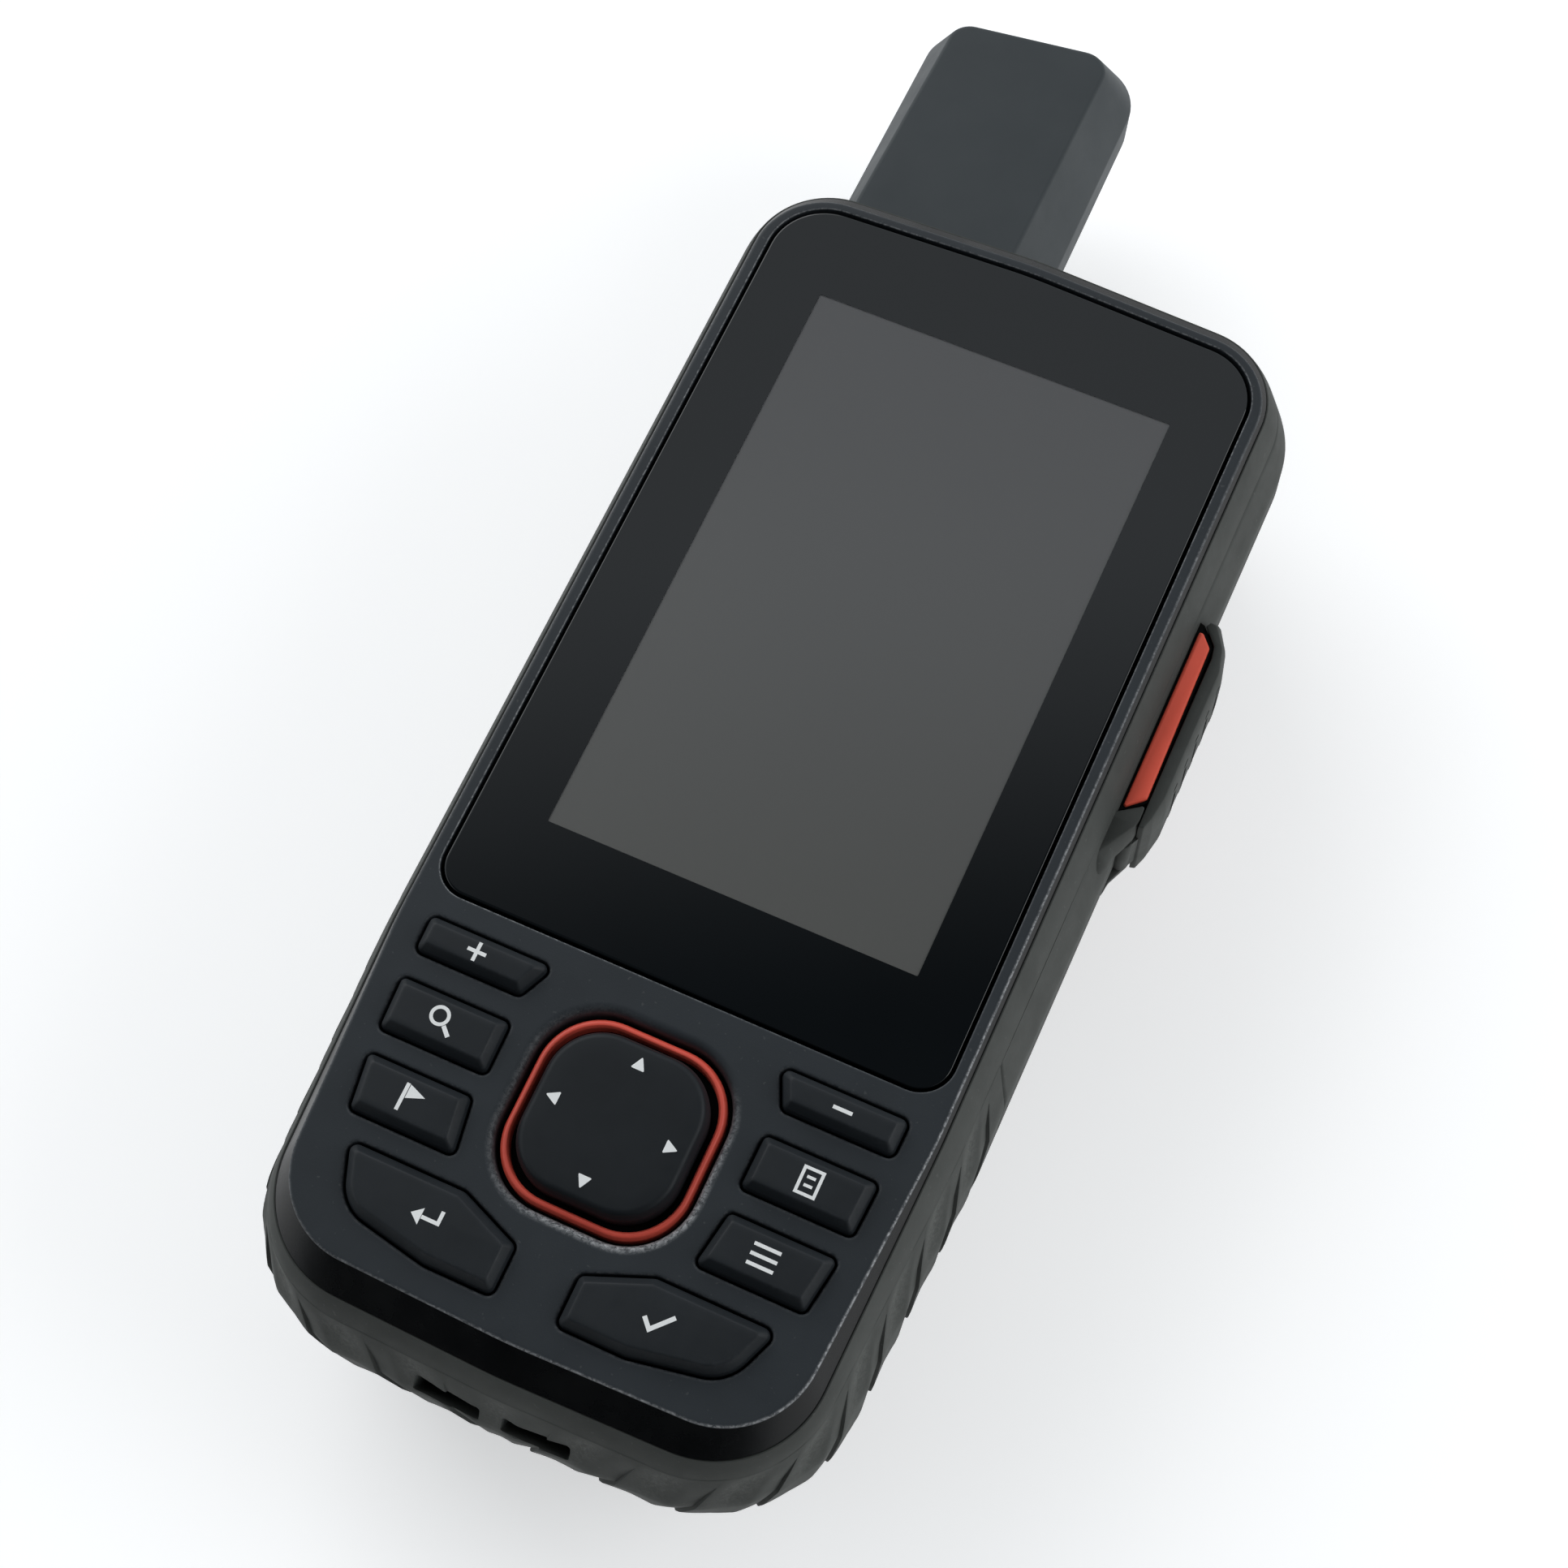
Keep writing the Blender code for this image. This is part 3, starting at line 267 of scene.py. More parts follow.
# ================================================================ materials
class Nodes:
    """A short way to lay out one material's node tree."""

    def __init__(self, name):
        self.material = bpy.data.materials.new(name)
        self.material.use_nodes = True
        self.tree = self.material.node_tree
        self.shader = self.tree.nodes["Principled BSDF"]
        self.place = self.add("ShaderNodeTexCoord").outputs["Object"]

    def add(self, kind, **values):
        node = self.tree.nodes.new(kind)
        for key, value in values.items():
            setattr(node, key, value)
        return node

    def link(self, source, target):
        self.tree.links.new(source, target)

    def feed(self, socket, value):
        """Sets a number or a colour, or links an output."""
        if isinstance(value, (int, float)):
            socket.default_value = value
        elif isinstance(value, tuple):
            socket.default_value = (*value, 1.0)[:4]
        else:
            self.link(value, socket)

    def give(self, name, value):
        self.feed(self.shader.inputs[name], value)

    def noise(self, size_mm, detail=4.0, rough=0.55, distortion=0.0):
        node = self.add("ShaderNodeTexNoise")
        for key, value in (("Scale", 1.0 / (size_mm * MM)), ("Detail", detail), ("Roughness", rough),
                           ("Distortion", distortion)):
            node.inputs[key].default_value = value
        self.link(self.place, node.inputs["Vector"])
        return node.outputs["Fac"]

    def remap(self, source, low, high, to_low, to_high):
        node = self.add("ShaderNodeMapRange")
        for key, value in zip(("From Min", "From Max", "To Min", "To Max"), (low, high, to_low, to_high)):
            node.inputs[key].default_value = value
        self.link(source, node.inputs["Value"])
        return node.outputs["Result"]

    def math(self, operation, a, b):
        node = self.add("ShaderNodeMath", operation=operation)
        for socket, value in zip(node.inputs, (a, b)):
            self.feed(socket, value)
        return node.outputs[0]

    def mix(self, factor, first, second):
        node = self.add("ShaderNodeMix", data_type="RGBA")
        for k, value in ((0, factor), (6, first), (7, second)):
            self.feed(node.inputs[k], value)
        return node.outputs[2]

    def attribute(self, name):
        return self.add("ShaderNodeAttribute", attribute_name=name).outputs["Fac"]

    def bump(self, height, strength, distance_mm, normal=None):
        node = self.add("ShaderNodeBump")
        node.inputs["Strength"].default_value = strength
        node.inputs["Distance"].default_value = distance_mm * MM
        self.link(height, node.inputs["Height"])
        if normal is not None:
            self.link(normal, node.inputs["Normal"])
        return node.outputs["Normal"]


def moulded(name, colour, roughness, grain_mm=0.22, grain=0.35, mottle=0.18, mottle_mm=9.0, dust=0.0, specular=0.5,
            worn_and_lit=None, worn_and_lit_roughness=0.45, metallic=0.0):
    """Moulded plastic or rubber: grain, slow changes of tone, dust, and a lighter colour where the mesh's per-vertex
    value says so, which is real abrasion in places and painted highlight in others.
    """
    n = Nodes(name)
    colour = np.array(colour)
    tone = n.remap(n.noise(mottle_mm, 5.0, 0.6), 0.3, 0.7, 0.0, 1.0)
    low, high = tuple(colour * (1 - mottle)), tuple(colour * (1 + mottle))
    shade = n.mix(tone, low, high)
    rough = n.remap(n.noise(mottle_mm * 0.35, 4.0, 0.6), 0.3, 0.7, roughness - 0.05, roughness + 0.06)
    if dust:
        specks = n.remap(n.noise(0.55, 2.0, 0.5), 0.69, 0.76, 0.0, dust)
        shade = n.mix(specks, shade, (0.32, 0.32, 0.30))
    if worn_and_lit is not None:
        # The lighter colour here paints real wear and painted highlight alike, broken up by noise.
        wear_and_sheen_breakup = n.remap(n.noise(0.45, 7.0, 0.75, 0.8), 0.42, 0.66, 0.08, 1.0)
        mask = n.math("MULTIPLY", n.attribute("wear_and_sheen"), wear_and_sheen_breakup)
        shade = n.mix(mask, shade, worn_and_lit)
        rough = n.mix(mask, rough, (worn_and_lit_roughness,) * 3)
    n.give("Base Color", shade)
    n.give("Roughness", rough)
    n.give("Specular IOR Level", specular)
    n.give("Metallic", metallic)
    fine = n.bump(n.noise(grain_mm, 3.0, 0.6), grain, 0.03)
    n.give("Normal", n.bump(n.noise(3.5, 3.0, 0.5), 0.12, 0.06, fine))
    return n.material


def glass_material():
    """Clear window: what is behind it shows, and its top reflects."""
    n = Nodes("clear_window")
    see = n.add("ShaderNodeBsdfTransparent")
    see.inputs["Color"].default_value = (0.93, 0.95, 0.95, 1.0)
    gloss = n.add("ShaderNodeBsdfGlossy")
    gloss.inputs["Color"].default_value = (1.0, 1.0, 1.0, 1.0)
    n.link(n.remap(n.noise(14.0, 4.0, 0.6), 0.35, 0.7, 0.02, 0.06), gloss.inputs["Roughness"])
    fresnel = n.add("ShaderNodeFresnel")
    side = n.add("ShaderNodeNewGeometry").outputs["Backfacing"]
    n.link(n.remap(side, 0.0, 1.0, 1.5, 1 / 1.5), fresnel.inputs["IOR"])
    both = n.add("ShaderNodeMixShader")
    n.link(fresnel.outputs["Fac"], both.inputs[0])
    n.link(see.outputs[0], both.inputs[1])
    n.link(gloss.outputs[0], both.inputs[2])
    n.link(both.outputs[0], n.tree.nodes["Material Output"].inputs["Surface"])
    return n.material


def border_material():
    """Black print behind the same window."""
    n = Nodes("printed_border")
    tone = n.remap(n.noise(20.0, 3.0), 0.3, 0.7, 0.0, 1.0)
    n.give("Base Color", n.mix(tone, (0.0012, 0.0024, 0.0034), (0.0018, 0.0032, 0.0044)))
    n.give("Roughness", n.remap(n.noise(14.0, 4.0, 0.6), 0.35, 0.7, 0.02, 0.06))
    n.give("IOR", 1.5)
    return n.material


def screen_material():
    n = Nodes("unlit_screen")
    split = n.add("ShaderNodeSeparateXYZ")
    n.link(n.place, split.inputs["Vector"])
    # Painted light: the screen's colour is made lighter towards its bottom, as light falls across it.
    lighter_towards_bottom = n.remap(split.outputs["Y"], 0.032, -0.032, 0.0, 1.0)
    tone = n.math("ADD", n.math("MULTIPLY", n.noise(26.0, 3.0, 0.5), 0.15), n.math("MULTIPLY", lighter_towards_bottom, 0.85))
    n.give("Base Color", n.mix(tone, (0.081, 0.076, 0.080), (0.119, 0.114, 0.107)))
    n.give("Roughness", n.remap(n.noise(0.1, 2.0), 0.3, 0.7, 0.55, 0.66))
    n.give("Specular IOR Level", 0.3)
    return n.material


def board_material():
    """Solder mask with darker tracks under it and tinned pads."""
    n = Nodes("circuit_board")
    brick = n.add("ShaderNodeTexBrick")
    brick.inputs["Scale"].default_value = 260.0
    brick.inputs["Color1"].default_value = (0.010, 0.085, 0.035, 1.0)
    brick.inputs["Color2"].default_value = (0.014, 0.11, 0.045, 1.0)
    brick.inputs["Mortar"].default_value = (0.03, 0.19, 0.08, 1.0)
    n.link(n.place, brick.inputs["Vector"])
    pads = n.remap(n.noise(0.8, 1.0), 0.66, 0.68, 0.0, 1.0)
    n.give("Base Color", n.mix(pads, brick.outputs["Color"], (0.55, 0.52, 0.42)))
    n.give("Roughness", n.remap(n.noise(1.5), 0.3, 0.7, 0.3, 0.5))
    n.give("Normal", n.bump(brick.outputs["Fac"], 0.3, 0.03))
    return n.material


def metal_material(name, colour, roughness):
    n = Nodes(name)
    streaks = n.noise(0.5, 5.0, 0.65)
    n.give("Base Color", n.mix(streaks, tuple(np.array(colour) * 0.8), tuple(colour)))
    n.give("Roughness", n.remap(streaks, 0.3, 0.7, roughness - 0.08, roughness + 0.1))
    n.give("Metallic", 1.0)
    n.give("Normal", n.bump(n.noise(0.3, 4.0), 0.15, 0.02))
    return n.material


# The colour after specular is what a surface turns to where its per-vertex value lightens it: real wear and painted
# highlight on FRONT, painted highlight alone on KEY and RUBBER.
FRONT = moulded("front_plastic", (0.0225, 0.0275, 0.0325), 0.50, 0.16, 0.26, 0.12, 12.0, 0.08, 0.30,
                (0.62, 0.63, 0.64), 0.4)
BEVEL = moulded("front_bevel", (0.0020, 0.0024, 0.0028), 0.26, 0.25, 0.10, 0.15, 12.0, 0.0, 0.22,
                (0.13, 0.14, 0.15), 0.4)
RUBBER = moulded("grey_rubber", (0.051, 0.0545, 0.0505), 0.74, 0.20, 0.34, 0.12, 7.0, 0.08, 0.28,
                 (0.120, 0.125, 0.117), 0.7)
# Painted light: the grey rubber at twice its brightness, so the shaded insides of the strap slots and the strap passage
# read lighter.
LIT_SLOT_RUBBER = moulded("slot_rubber_painted_light", (0.105, 0.11, 0.104), 0.74, 0.20, 0.34, 0.12, 7.0, 0.0, 0.28)
AERIAL = moulded("aerial_plastic", (0.038, 0.0455, 0.0495), 0.58, 0.14, 0.24, 0.05, 16.0, 0.0, 0.30,
                 (0.075, 0.08, 0.08))
BACK = moulded("back_plastic", (0.028, 0.031, 0.033), 0.60, 0.28, 0.55, 0.12, 10.0, 0.1, 0.35, (0.09, 0.09, 0.09))
KEY = moulded("key_rubber", (0.0135, 0.0165, 0.0195), 0.52, 0.13, 0.2, 0.10, 5.0, 0.0, 0.26, (0.05, 0.055, 0.06))
PAD = moulded("pad_rubber", (0.0095, 0.0120, 0.0145), 0.52, 0.13, 0.2, 0.10, 5.0, 0.0, 0.24, (0.05, 0.055, 0.06))
# Painted shade: near-black with little shine, for gaps and floors that stand in for shadow.
SHADE_BLACK = moulded("shadow_gap", (0.0022, 0.0022, 0.0022), 0.8, 0.3, 0.2, specular=0.1)
RED = moulded("red_accent", (0.90, 0.120, 0.070), 0.5, 0.18, 0.22, 0.05, 6.0, 0.0, 0.3, (0.8, 0.2, 0.15))
RING_RED = moulded("red_ring", (0.74, 0.095, 0.062), 0.42, 0.18, 0.18, 0.07, 4.0, 0.0, 0.4)
WHITE = moulded("printed_white", (0.93, 0.94, 0.93), 0.55, 0.12, 0.3, 0.03, 3.0)
# Near-black with no shine: the window print's cut edge, and painted shade on the floor of the gap round the window.
INK_AND_GAP_SHADE = moulded("print_and_gap_shade", (0.0016, 0.0028, 0.0038), 0.9, 2.0, 0.0, 0.1, 12.0, specular=0.0)
SEAL = moulded("soft_seal", (0.012, 0.012, 0.012), 0.75, 0.3, 0.3)
CAP = moulded("cap_rubber", (0.024, 0.0255, 0.026), 0.68, 0.18, 0.4, 0.14, 5.0, 0.1, 0.35)
FOAM = moulded("foam", (0.03, 0.03, 0.03), 0.9, 0.5, 0.9)
CHIP = moulded("chip_resin", (0.02, 0.02, 0.02), 0.5, 0.15, 0.4)
CELL = moulded("cell_wrap", (0.03, 0.075, 0.20), 0.35, 0.4, 0.2, 0.1)
NYLON = moulded("natural_nylon", (0.72, 0.71, 0.66), 0.45, 0.3, 0.2, 0.05)
EMITTER = moulded("emitter", (0.85, 0.74, 0.25), 0.4, 0.3, 0.2, 0.1)
CERAMIC = moulded("ceramic", (0.66, 0.62, 0.52), 0.6, 0.2, 0.4, 0.06)
STEEL = metal_material("plated_steel", (0.60, 0.60, 0.60), 0.32)
COPPER = metal_material("copper", (0.75, 0.40, 0.22), 0.30)
SCREEN = screen_material()
WINDOW = glass_material()
BORDER = border_material()
BOARD = board_material()


# ================================================================ front frame
def opening(skin, ring_at, radius, bottom, wear_and_sheen=0.0, steps=5, support=0.12):
    """A hole's edge: a flat support ring, a rounded lip and a wall. Returns the loop that the face is filled to."""
    rows, wear_and_sheen_rows = [lifted(ring_at(-radius - support), 0.0)], [0.0]
    for k in range(steps + 1):
        angle = math.pi / 2 * k / steps
        rows.append(lifted(ring_at(-radius + radius * math.sin(angle)), radius * (1 - math.cos(angle))))
        wear_and_sheen_rows.append(wear_and_sheen * math.sin(math.pi * min(1.0, (k + 0.3) / steps)) ** 2)
    rows.append(lifted(ring_at(0.0), bottom))
    wear_and_sheen_rows.append(0.0)
    return skin.loft(rows, wear_and_sheen_rows)[0]


def sheen_and_wear_by_facing(points, right, chin, left, top):
    """How much an edge is lightened, by where it faces, for real abrasion and painted highlight: (x, y) points measured
    from the middle of their own outline.
    """
    points = np.asarray(points)
    centred = points - (points.min(0) + points.max(0)) / 2
    turn = np.arctan2(centred[:, 1] / np.ptp(points[:, 1]), centred[:, 0] / np.ptp(points[:, 0]))
    marks = np.radians([-180, -140, -90, -45, -5, 45, 90, 180])
    return np.interp(turn, marks, [left, left, chin, max(right, chin), right, top, top, left])


def front_frame():
    skin = Skin()
    lip = 0.3
    rows, wear_and_sheen_rows = [lifted(front_ring(lip + 0.15), 0.0)], [0.0]
    # Real edge wear together with a painted highlight along the front edge, strongest on the right and round the chin,
    # faint on the left and top.
    worn_and_lit = sheen_and_wear_by_facing(front_ring(0.0), 0.75, 0.55, 0.12, 0.05)
    for k in range(6):
        angle = math.pi / 2 * k / 5
        rows.append(lifted(front_ring(lip - lip * math.sin(angle)), lip * (1 - math.cos(angle)) * 0.9))
        wear_and_sheen_rows.append(worn_and_lit * (1.0 if k in (2, 3) else 0.25 if k in (1, 4) else 0.0))
    top = skin.loft(rows, wear_and_sheen_rows)
    edge, edge_depth = front_ring(0.0), lip * 0.9
    brim, brim_depth = brim_ring()
    rows = []
    for share in (0.0, 0.08, 0.5, 0.92, 1.0):
        ring = edge + (brim - edge) * share
        rows.append(lifted(ring, edge_depth + (brim_depth - edge_depth) * share))
    tuck, _ = brim_ring(-0.6)
    rows.append(lifted(tuck, brim_depth + 0.25))
    skin.loft(rows, slot=1)
    loops = [top[0]]
    # Painted highlight: the window opening's lip is lightened on its left and top sides, where the lighting leaves it
    # dark.
    loops.append(opening(skin, glass_ring, 0.16, 2.3, sheen_and_wear_by_facing(glass_ring(0.0), 0.12, 0.02, 0.55, 0.5)))
    for corners in KEYS.values():
        loops.append(opening(skin, lambda inset, c=corners: key_ring(c, inset), 0.28, 2.3, 0.10))
    lip_at = lambda inset: box_ring(PAD_X, PAD_Y, 9.72 - inset, 9.72 - inset, 6.5 - inset, 14)
    # Real wear round the pad opening, with a painted sheen on its right and lower sides.
    loops.append(opening(skin, lip_at, 0.95, 2.3, sheen_and_wear_by_facing(lip_at(0.0), 0.9, 0.9, 0.2, 0.0), 8))
    skin.fill(loops)
    skin.build("front_frame", [FRONT, BEVEL], "chassis", "front_housing")


GLASS_GAP, GLASS_DEPTH, LEDGE_DEPTH = 0.36, 0.1, 1.3
SCREEN_DEPTHS = (2.6, 0.18)


def display():
    skin = Skin()
    lip = 0.16
    edge = GLASS_GAP
    # Painted shade: the floor of the gap round the window is this near-black, shineless material.
    skin.loft([lifted(glass_ring(0.02), LEDGE_DEPTH), lifted(glass_ring(edge), LEDGE_DEPTH)], slot=1)
    rows = [lifted(glass_ring(edge), LEDGE_DEPTH), lifted(glass_ring(edge), GLASS_DEPTH + lip)]
    for k in range(1, 5):
        angle = math.pi / 2 * k / 4
        rows.append(lifted(glass_ring(edge + lip * (1 - math.cos(angle))),
                           GLASS_DEPTH + lip - lip * math.sin(angle)))
    rows.append(lifted(glass_ring(edge + lip + 0.1), GLASS_DEPTH))
    outer = skin.loft(rows)[-1]
    window = box_ring(0.42, -0.835, 19.05, 31.335, 0.15, 3)
    inner = skin.ring(lifted(window, GLASS_DEPTH))
    skin.fill([outer, inner])
    skin.strip(inner, skin.ring(lifted(window, 0.16)), slot=1)
    skin.build("window_border", [BORDER, INK_AND_GAP_SHADE], "chassis", "lens_adhesive")
    pane = Skin()
    pane.loft([lifted(window, GLASS_DEPTH)], cap_first=True)
    pane.build("window_pane", [WINDOW], "chassis", "display_lens")
    panel = Skin()
    glow = box_ring(0.1, -0.30, 20.2, 32.6, 0.15, 3)
    panel.solid([lifted(glow, depth) for depth in SCREEN_DEPTHS])
    panel.build("screen", [SCREEN], "chassis", "lcd_panel")


# ================================================================ keys and pad
def keys():
    profile = fillet([(0.24, 2.6, 0), (0.24, 0.15, 0.3), (0.36, -0.35, 0.5), (1.02, -1.22, 0.34), (1.4, -1.25, 0)], 5)
    for name, corners in KEYS.items():
        skin = Skin()
        rows, wear_and_sheen_rows = [], []
        for inset, depth in profile:
            rows.append(lifted(key_ring(corners, inset), depth))
            # Painted highlight on each key's top edge, on its right and lower sides.
            wear_and_sheen_rows.append(0.25 * sheen_and_wear_by_facing([q[:2] for q in rows[-1]], 1.0, 0.5, 0.0, 0.0) if -1.24 < depth < -0.95 else 0.0)
        skin.loft(rows, wear_and_sheen_rows, cap_last=True)
        skin.build(name + "_cap", [KEY], name + "_body", name, 40)


def film(skin, loops):
    """A printed shape, as a thin raised film: an outer (x, y) loop and any holes in it."""
    rows = []
    for loop in loops:
        low, high = skin.ring(lifted(loop, -1.2)), skin.ring(lifted(loop, SIGN_TOP))
        skin.strip(low, high)
        rows.append(high)
    skin.fill(rows)


def line(points, width=0.36):
    """The outline of a mitred line through (x, y) points."""
    points = [np.array(q, float) for q in points]
    left, right = [], []
    for i, here in enumerate(points):
        first = max(i - 1, 0)
        ways = [(b - a) / np.hypot(*(b - a)) for a, b in zip(points[first:i + 1], points[first + 1:i + 2])]
        sides = [np.array([-w[1], w[0]]) for w in ways]
        middle = sum(sides) / len(sides)
        reach = middle / float(middle @ middle) * width / 2
        left.append(here + reach)
        right.append(here - reach)
    return left + right[::-1]


def legends():
    a, b = 0.18, 0.95
    plus = [(a, a), (b, a), (b, -a), (a, -a), (a, -b), (-a, -b), (-a, -a), (-b, -a), (-b, a), (-a, a), (-a, b), (a, b)]
    rectangle = lambda x, y: [(-x, -y), (x, -y), (x, y), (-x, y)]
    signs = {
        "key_zoom_in": [[plus]],
        "key_zoom_out": [[rectangle(0.95, 0.18)]],
        "key_find": [[circle(-0.3, 0.35, 1.0, 32), circle(-0.3, 0.35, 0.66, 32)],
                     [line([(0.44, -0.39), (1.25, -1.2)], 0.42)]],
        "key_mark": [[line([(-0.85, -1.35), (-0.85, 1.35)])], [[(-0.6, 1.3), (1.15, 0.62), (-0.6, -0.05)]]],
        "key_quit": [[line([(1.35, 1.0), (1.35, -0.2), (-0.3, -0.2)])], [[(-0.35, 0.6), (-0.35, -1.0), (-1.35, -0.2)]]],
        "key_page": [[rectangle(1.05, 1.35), rectangle(0.75, 1.05)], [line([(-0.42, 0.42), (0.42, 0.42)], 0.28)],
                     [line([(-0.42, -0.38), (0.42, -0.38)], 0.28)]],
        "key_menu": [[line([(-1.3, y), (1.3, y)], 0.34)] for y in (0.9, 0.0, -0.9)],
        "key_enter": [[line([(-1.3, 0.0), (-0.45, -0.9), (1.3, 0.95)], 0.42)]],
    }
    middles = {"key_zoom_out": (18.5, -46.8), "key_page": (18.5, -54.0),
               "key_menu": (17.6, -61.8), "key_enter": (11.5, -70.7)}
    for right_name, (x, y) in middles.items():
        for name, side in ((right_name, 1), (TWINS[right_name], -1)):
            skin = Skin()
            for loops in signs[name]:
                film(skin, [[(side * x + px, y + py) for px, py in loop] for loop in loops])
            skin.build(name + "_sign", [WHITE], name + "_body", slot=name)


PAD_HALF, ARROW_REACH, SIGN_TOP = 7.95, 5.95, -1.266


def pad():
    skin = Skin()
    rows = []
    for inset, depth in fillet([(0.0, 1.35, 0), (0.0, -0.2, 1.2), (0.45, -1.38, 0.6), (2.2, -1.45, 0)], 7):
        rows.append(lifted(box_ring(PAD_X, PAD_Y, PAD_HALF - inset, PAD_HALF - inset, 5.4 - inset * 0.8, 14),
                           depth))
    skin.loft(rows, cap_last=True)
    skin.build("rocking_pad", [PAD], "pad", "four_way_pad", 40)
    arrows = Skin()
    for turn in range(4):
        angle = turn * math.pi / 2
        corners = [(-0.68, -0.6), (0.68, -0.6), (0.0, 0.66)]
        points = []
        for x, y in corners:
            y += ARROW_REACH
            points.append((PAD_X + x * math.cos(angle) - y * math.sin(angle),
                           PAD_Y + x * math.sin(angle) + y * math.cos(angle)))
        ring = rounded([(x, y, 0.08) for x, y in points], 3)
        arrows.loft([lifted(ring, -1.36), lifted(ring, -1.49)], cap_last=True)
    arrows.build("pad_arrows", [WHITE], "pad", slot="four_way_pad")
    ring = Skin()
    rows = []
    profile = fillet([(8.5, 2.0, 0), (8.52, 0.75, 0.15), (8.68, 0.45, 0.15), (9.02, 0.45, 0.3),
                      (9.28, 0.95, 0.2), (9.3, 2.2, 0)], 4)
    for half, depth in profile:
        rows.append(lifted(box_ring(PAD_X, PAD_Y, half, half, 6.1 - (9.3 - half) * 0.8, 14), depth))
    ring.loft(rows)
    ring.build("accent_ring", [RING_RED], "chassis", "pad_ring")
    # Painted shade: a flat near-black floor under the pad, where its shadow falls.
    well = Skin()
    well.loft([lifted(box_ring(PAD_X, PAD_Y, 9.6, 9.6, 6.4, 10), 2.25)], cap_first=True)
    well.build("pad_shade_floor", [SHADE_BLACK], "chassis")


# ================================================================ rubber sides
SPLIT_Y, SPLIT_SLOPE = -33.4, -0.45
PITCH, FACET, TEETH, FIRST_TOOTH = 7.6, 4.3, 9, -3.2
CREASE = 4.7
# Points from the middle of body_ring's list to the chin's centre line.
CHIN_STEPS = 10
# Where a ring's right-hand side is looked up. Its straight part has points only at y 33.7 and -44.5, so the
# range has to take in both, or np.interp stops at the nearer one.
SIDE_FROM_X, SIDE_Y, SIDE_HALF = 20, -20, 57


def split_y(depth):
    return SPLIT_Y + SPLIT_SLOPE * depth


def lengths_of(ring):
    steps = np.hypot(*(np.roll(ring, -1, 0) - ring).T)
    return np.concatenate([[0.0], np.cumsum(steps)])


class Level:
    """One depth of the body's side, read by its running length."""

    def __init__(self, depth, inset):
        self.ring = body_ring(depth, inset, 28)
        self.lengths = lengths_of(self.ring)
        looped = np.vstack([self.ring, self.ring[:1]])
        self.x, self.y = looped[:, 0], looped[:, 1]
        self.chin = self.lengths[len(self.ring) // 2 + CHIN_STEPS]
        right = (self.ring[:, 0] > SIDE_FROM_X) & (np.abs(self.ring[:, 1] - SIDE_Y) < SIDE_HALF)
        place = np.nonzero(right)[0]
        y = split_y(depth)
        order = np.argsort(self.ring[place, 1])
        self.right = float(np.interp(y, self.ring[place, 1][order], self.lengths[place][order]))
        self.reach = self.chin - self.right
        self.total = self.lengths[-1]

    def at(self, distance):
        distance = np.mod(distance, self.total)
        return np.stack([np.interp(distance, self.lengths, self.x), np.interp(distance, self.lengths, self.y)], 1)

    def normals(self, distance):
        step = self.at(distance + 0.15) - self.at(distance - 0.15)
        out = np.stack([-step[:, 1], step[:, 0]], 1)
        return out / np.hypot(out[:, 0], out[:, 1])[:, None]


def side_depths():
    return [CREASE + 0.006, CREASE + 0.12, CREASE + 0.3, 5.3, 5.8, 6.5, 7.2, 8.0, 8.7, 9.4, 10.2, 11.2, 12.4, 13.6,
            14.8, 16.0, 17.4, 18.8, 20.0, 21.0, 21.8, 22.25]


def rim_inset(depth):
    """How far the skin is tucked in at its rear edge."""
    return 0.35 * max(0.0, (depth - 21.9) / 0.6) ** 2


def crease_fade(y):
    """How deep the crease is along the side: full by the shoulders, gone by the grip."""
    return np.clip((y + 22.0) / 34.0, 0.0, 1.0)


def grip_stations():
    """Signed distances from the chin's centre, at the reference level, dense beside each tooth line."""
    half = [0.0]
    for j in range(0, TEETH + 1):
        line = PITCH * j + FIRST_TOOTH
        if j:
            half += list(np.linspace(line - PITCH + 0.3, line - FACET, 7)[1:])
            half += list(np.linspace(line - FACET, line - 0.12, 12)[1:])
            half += [line - 0.05, line + 0.0, line + 0.06, line + 0.14]
        else:
            half += [0.06, 0.14]
    half = np.array(sorted(set(np.round(half, 4))))
    return half[half >= 0]


def tooth(distance):
    """For distances from the chin's centre: how far past the last tooth line each lies, towards the chin."""
    line = np.ceil((distance - FIRST_TOOTH - 1e-6) / PITCH) * PITCH + FIRST_TOOTH
    past = line - distance
    return np.where((line > 0.1) & (line < PITCH * TEETH + 0.1), past, PITCH)


SLANT = 0.42
SLOTS = ((1.1, 7.7), (-7.7, -1.1))
SLOT_DEPTHS = (8.2, 13.2)


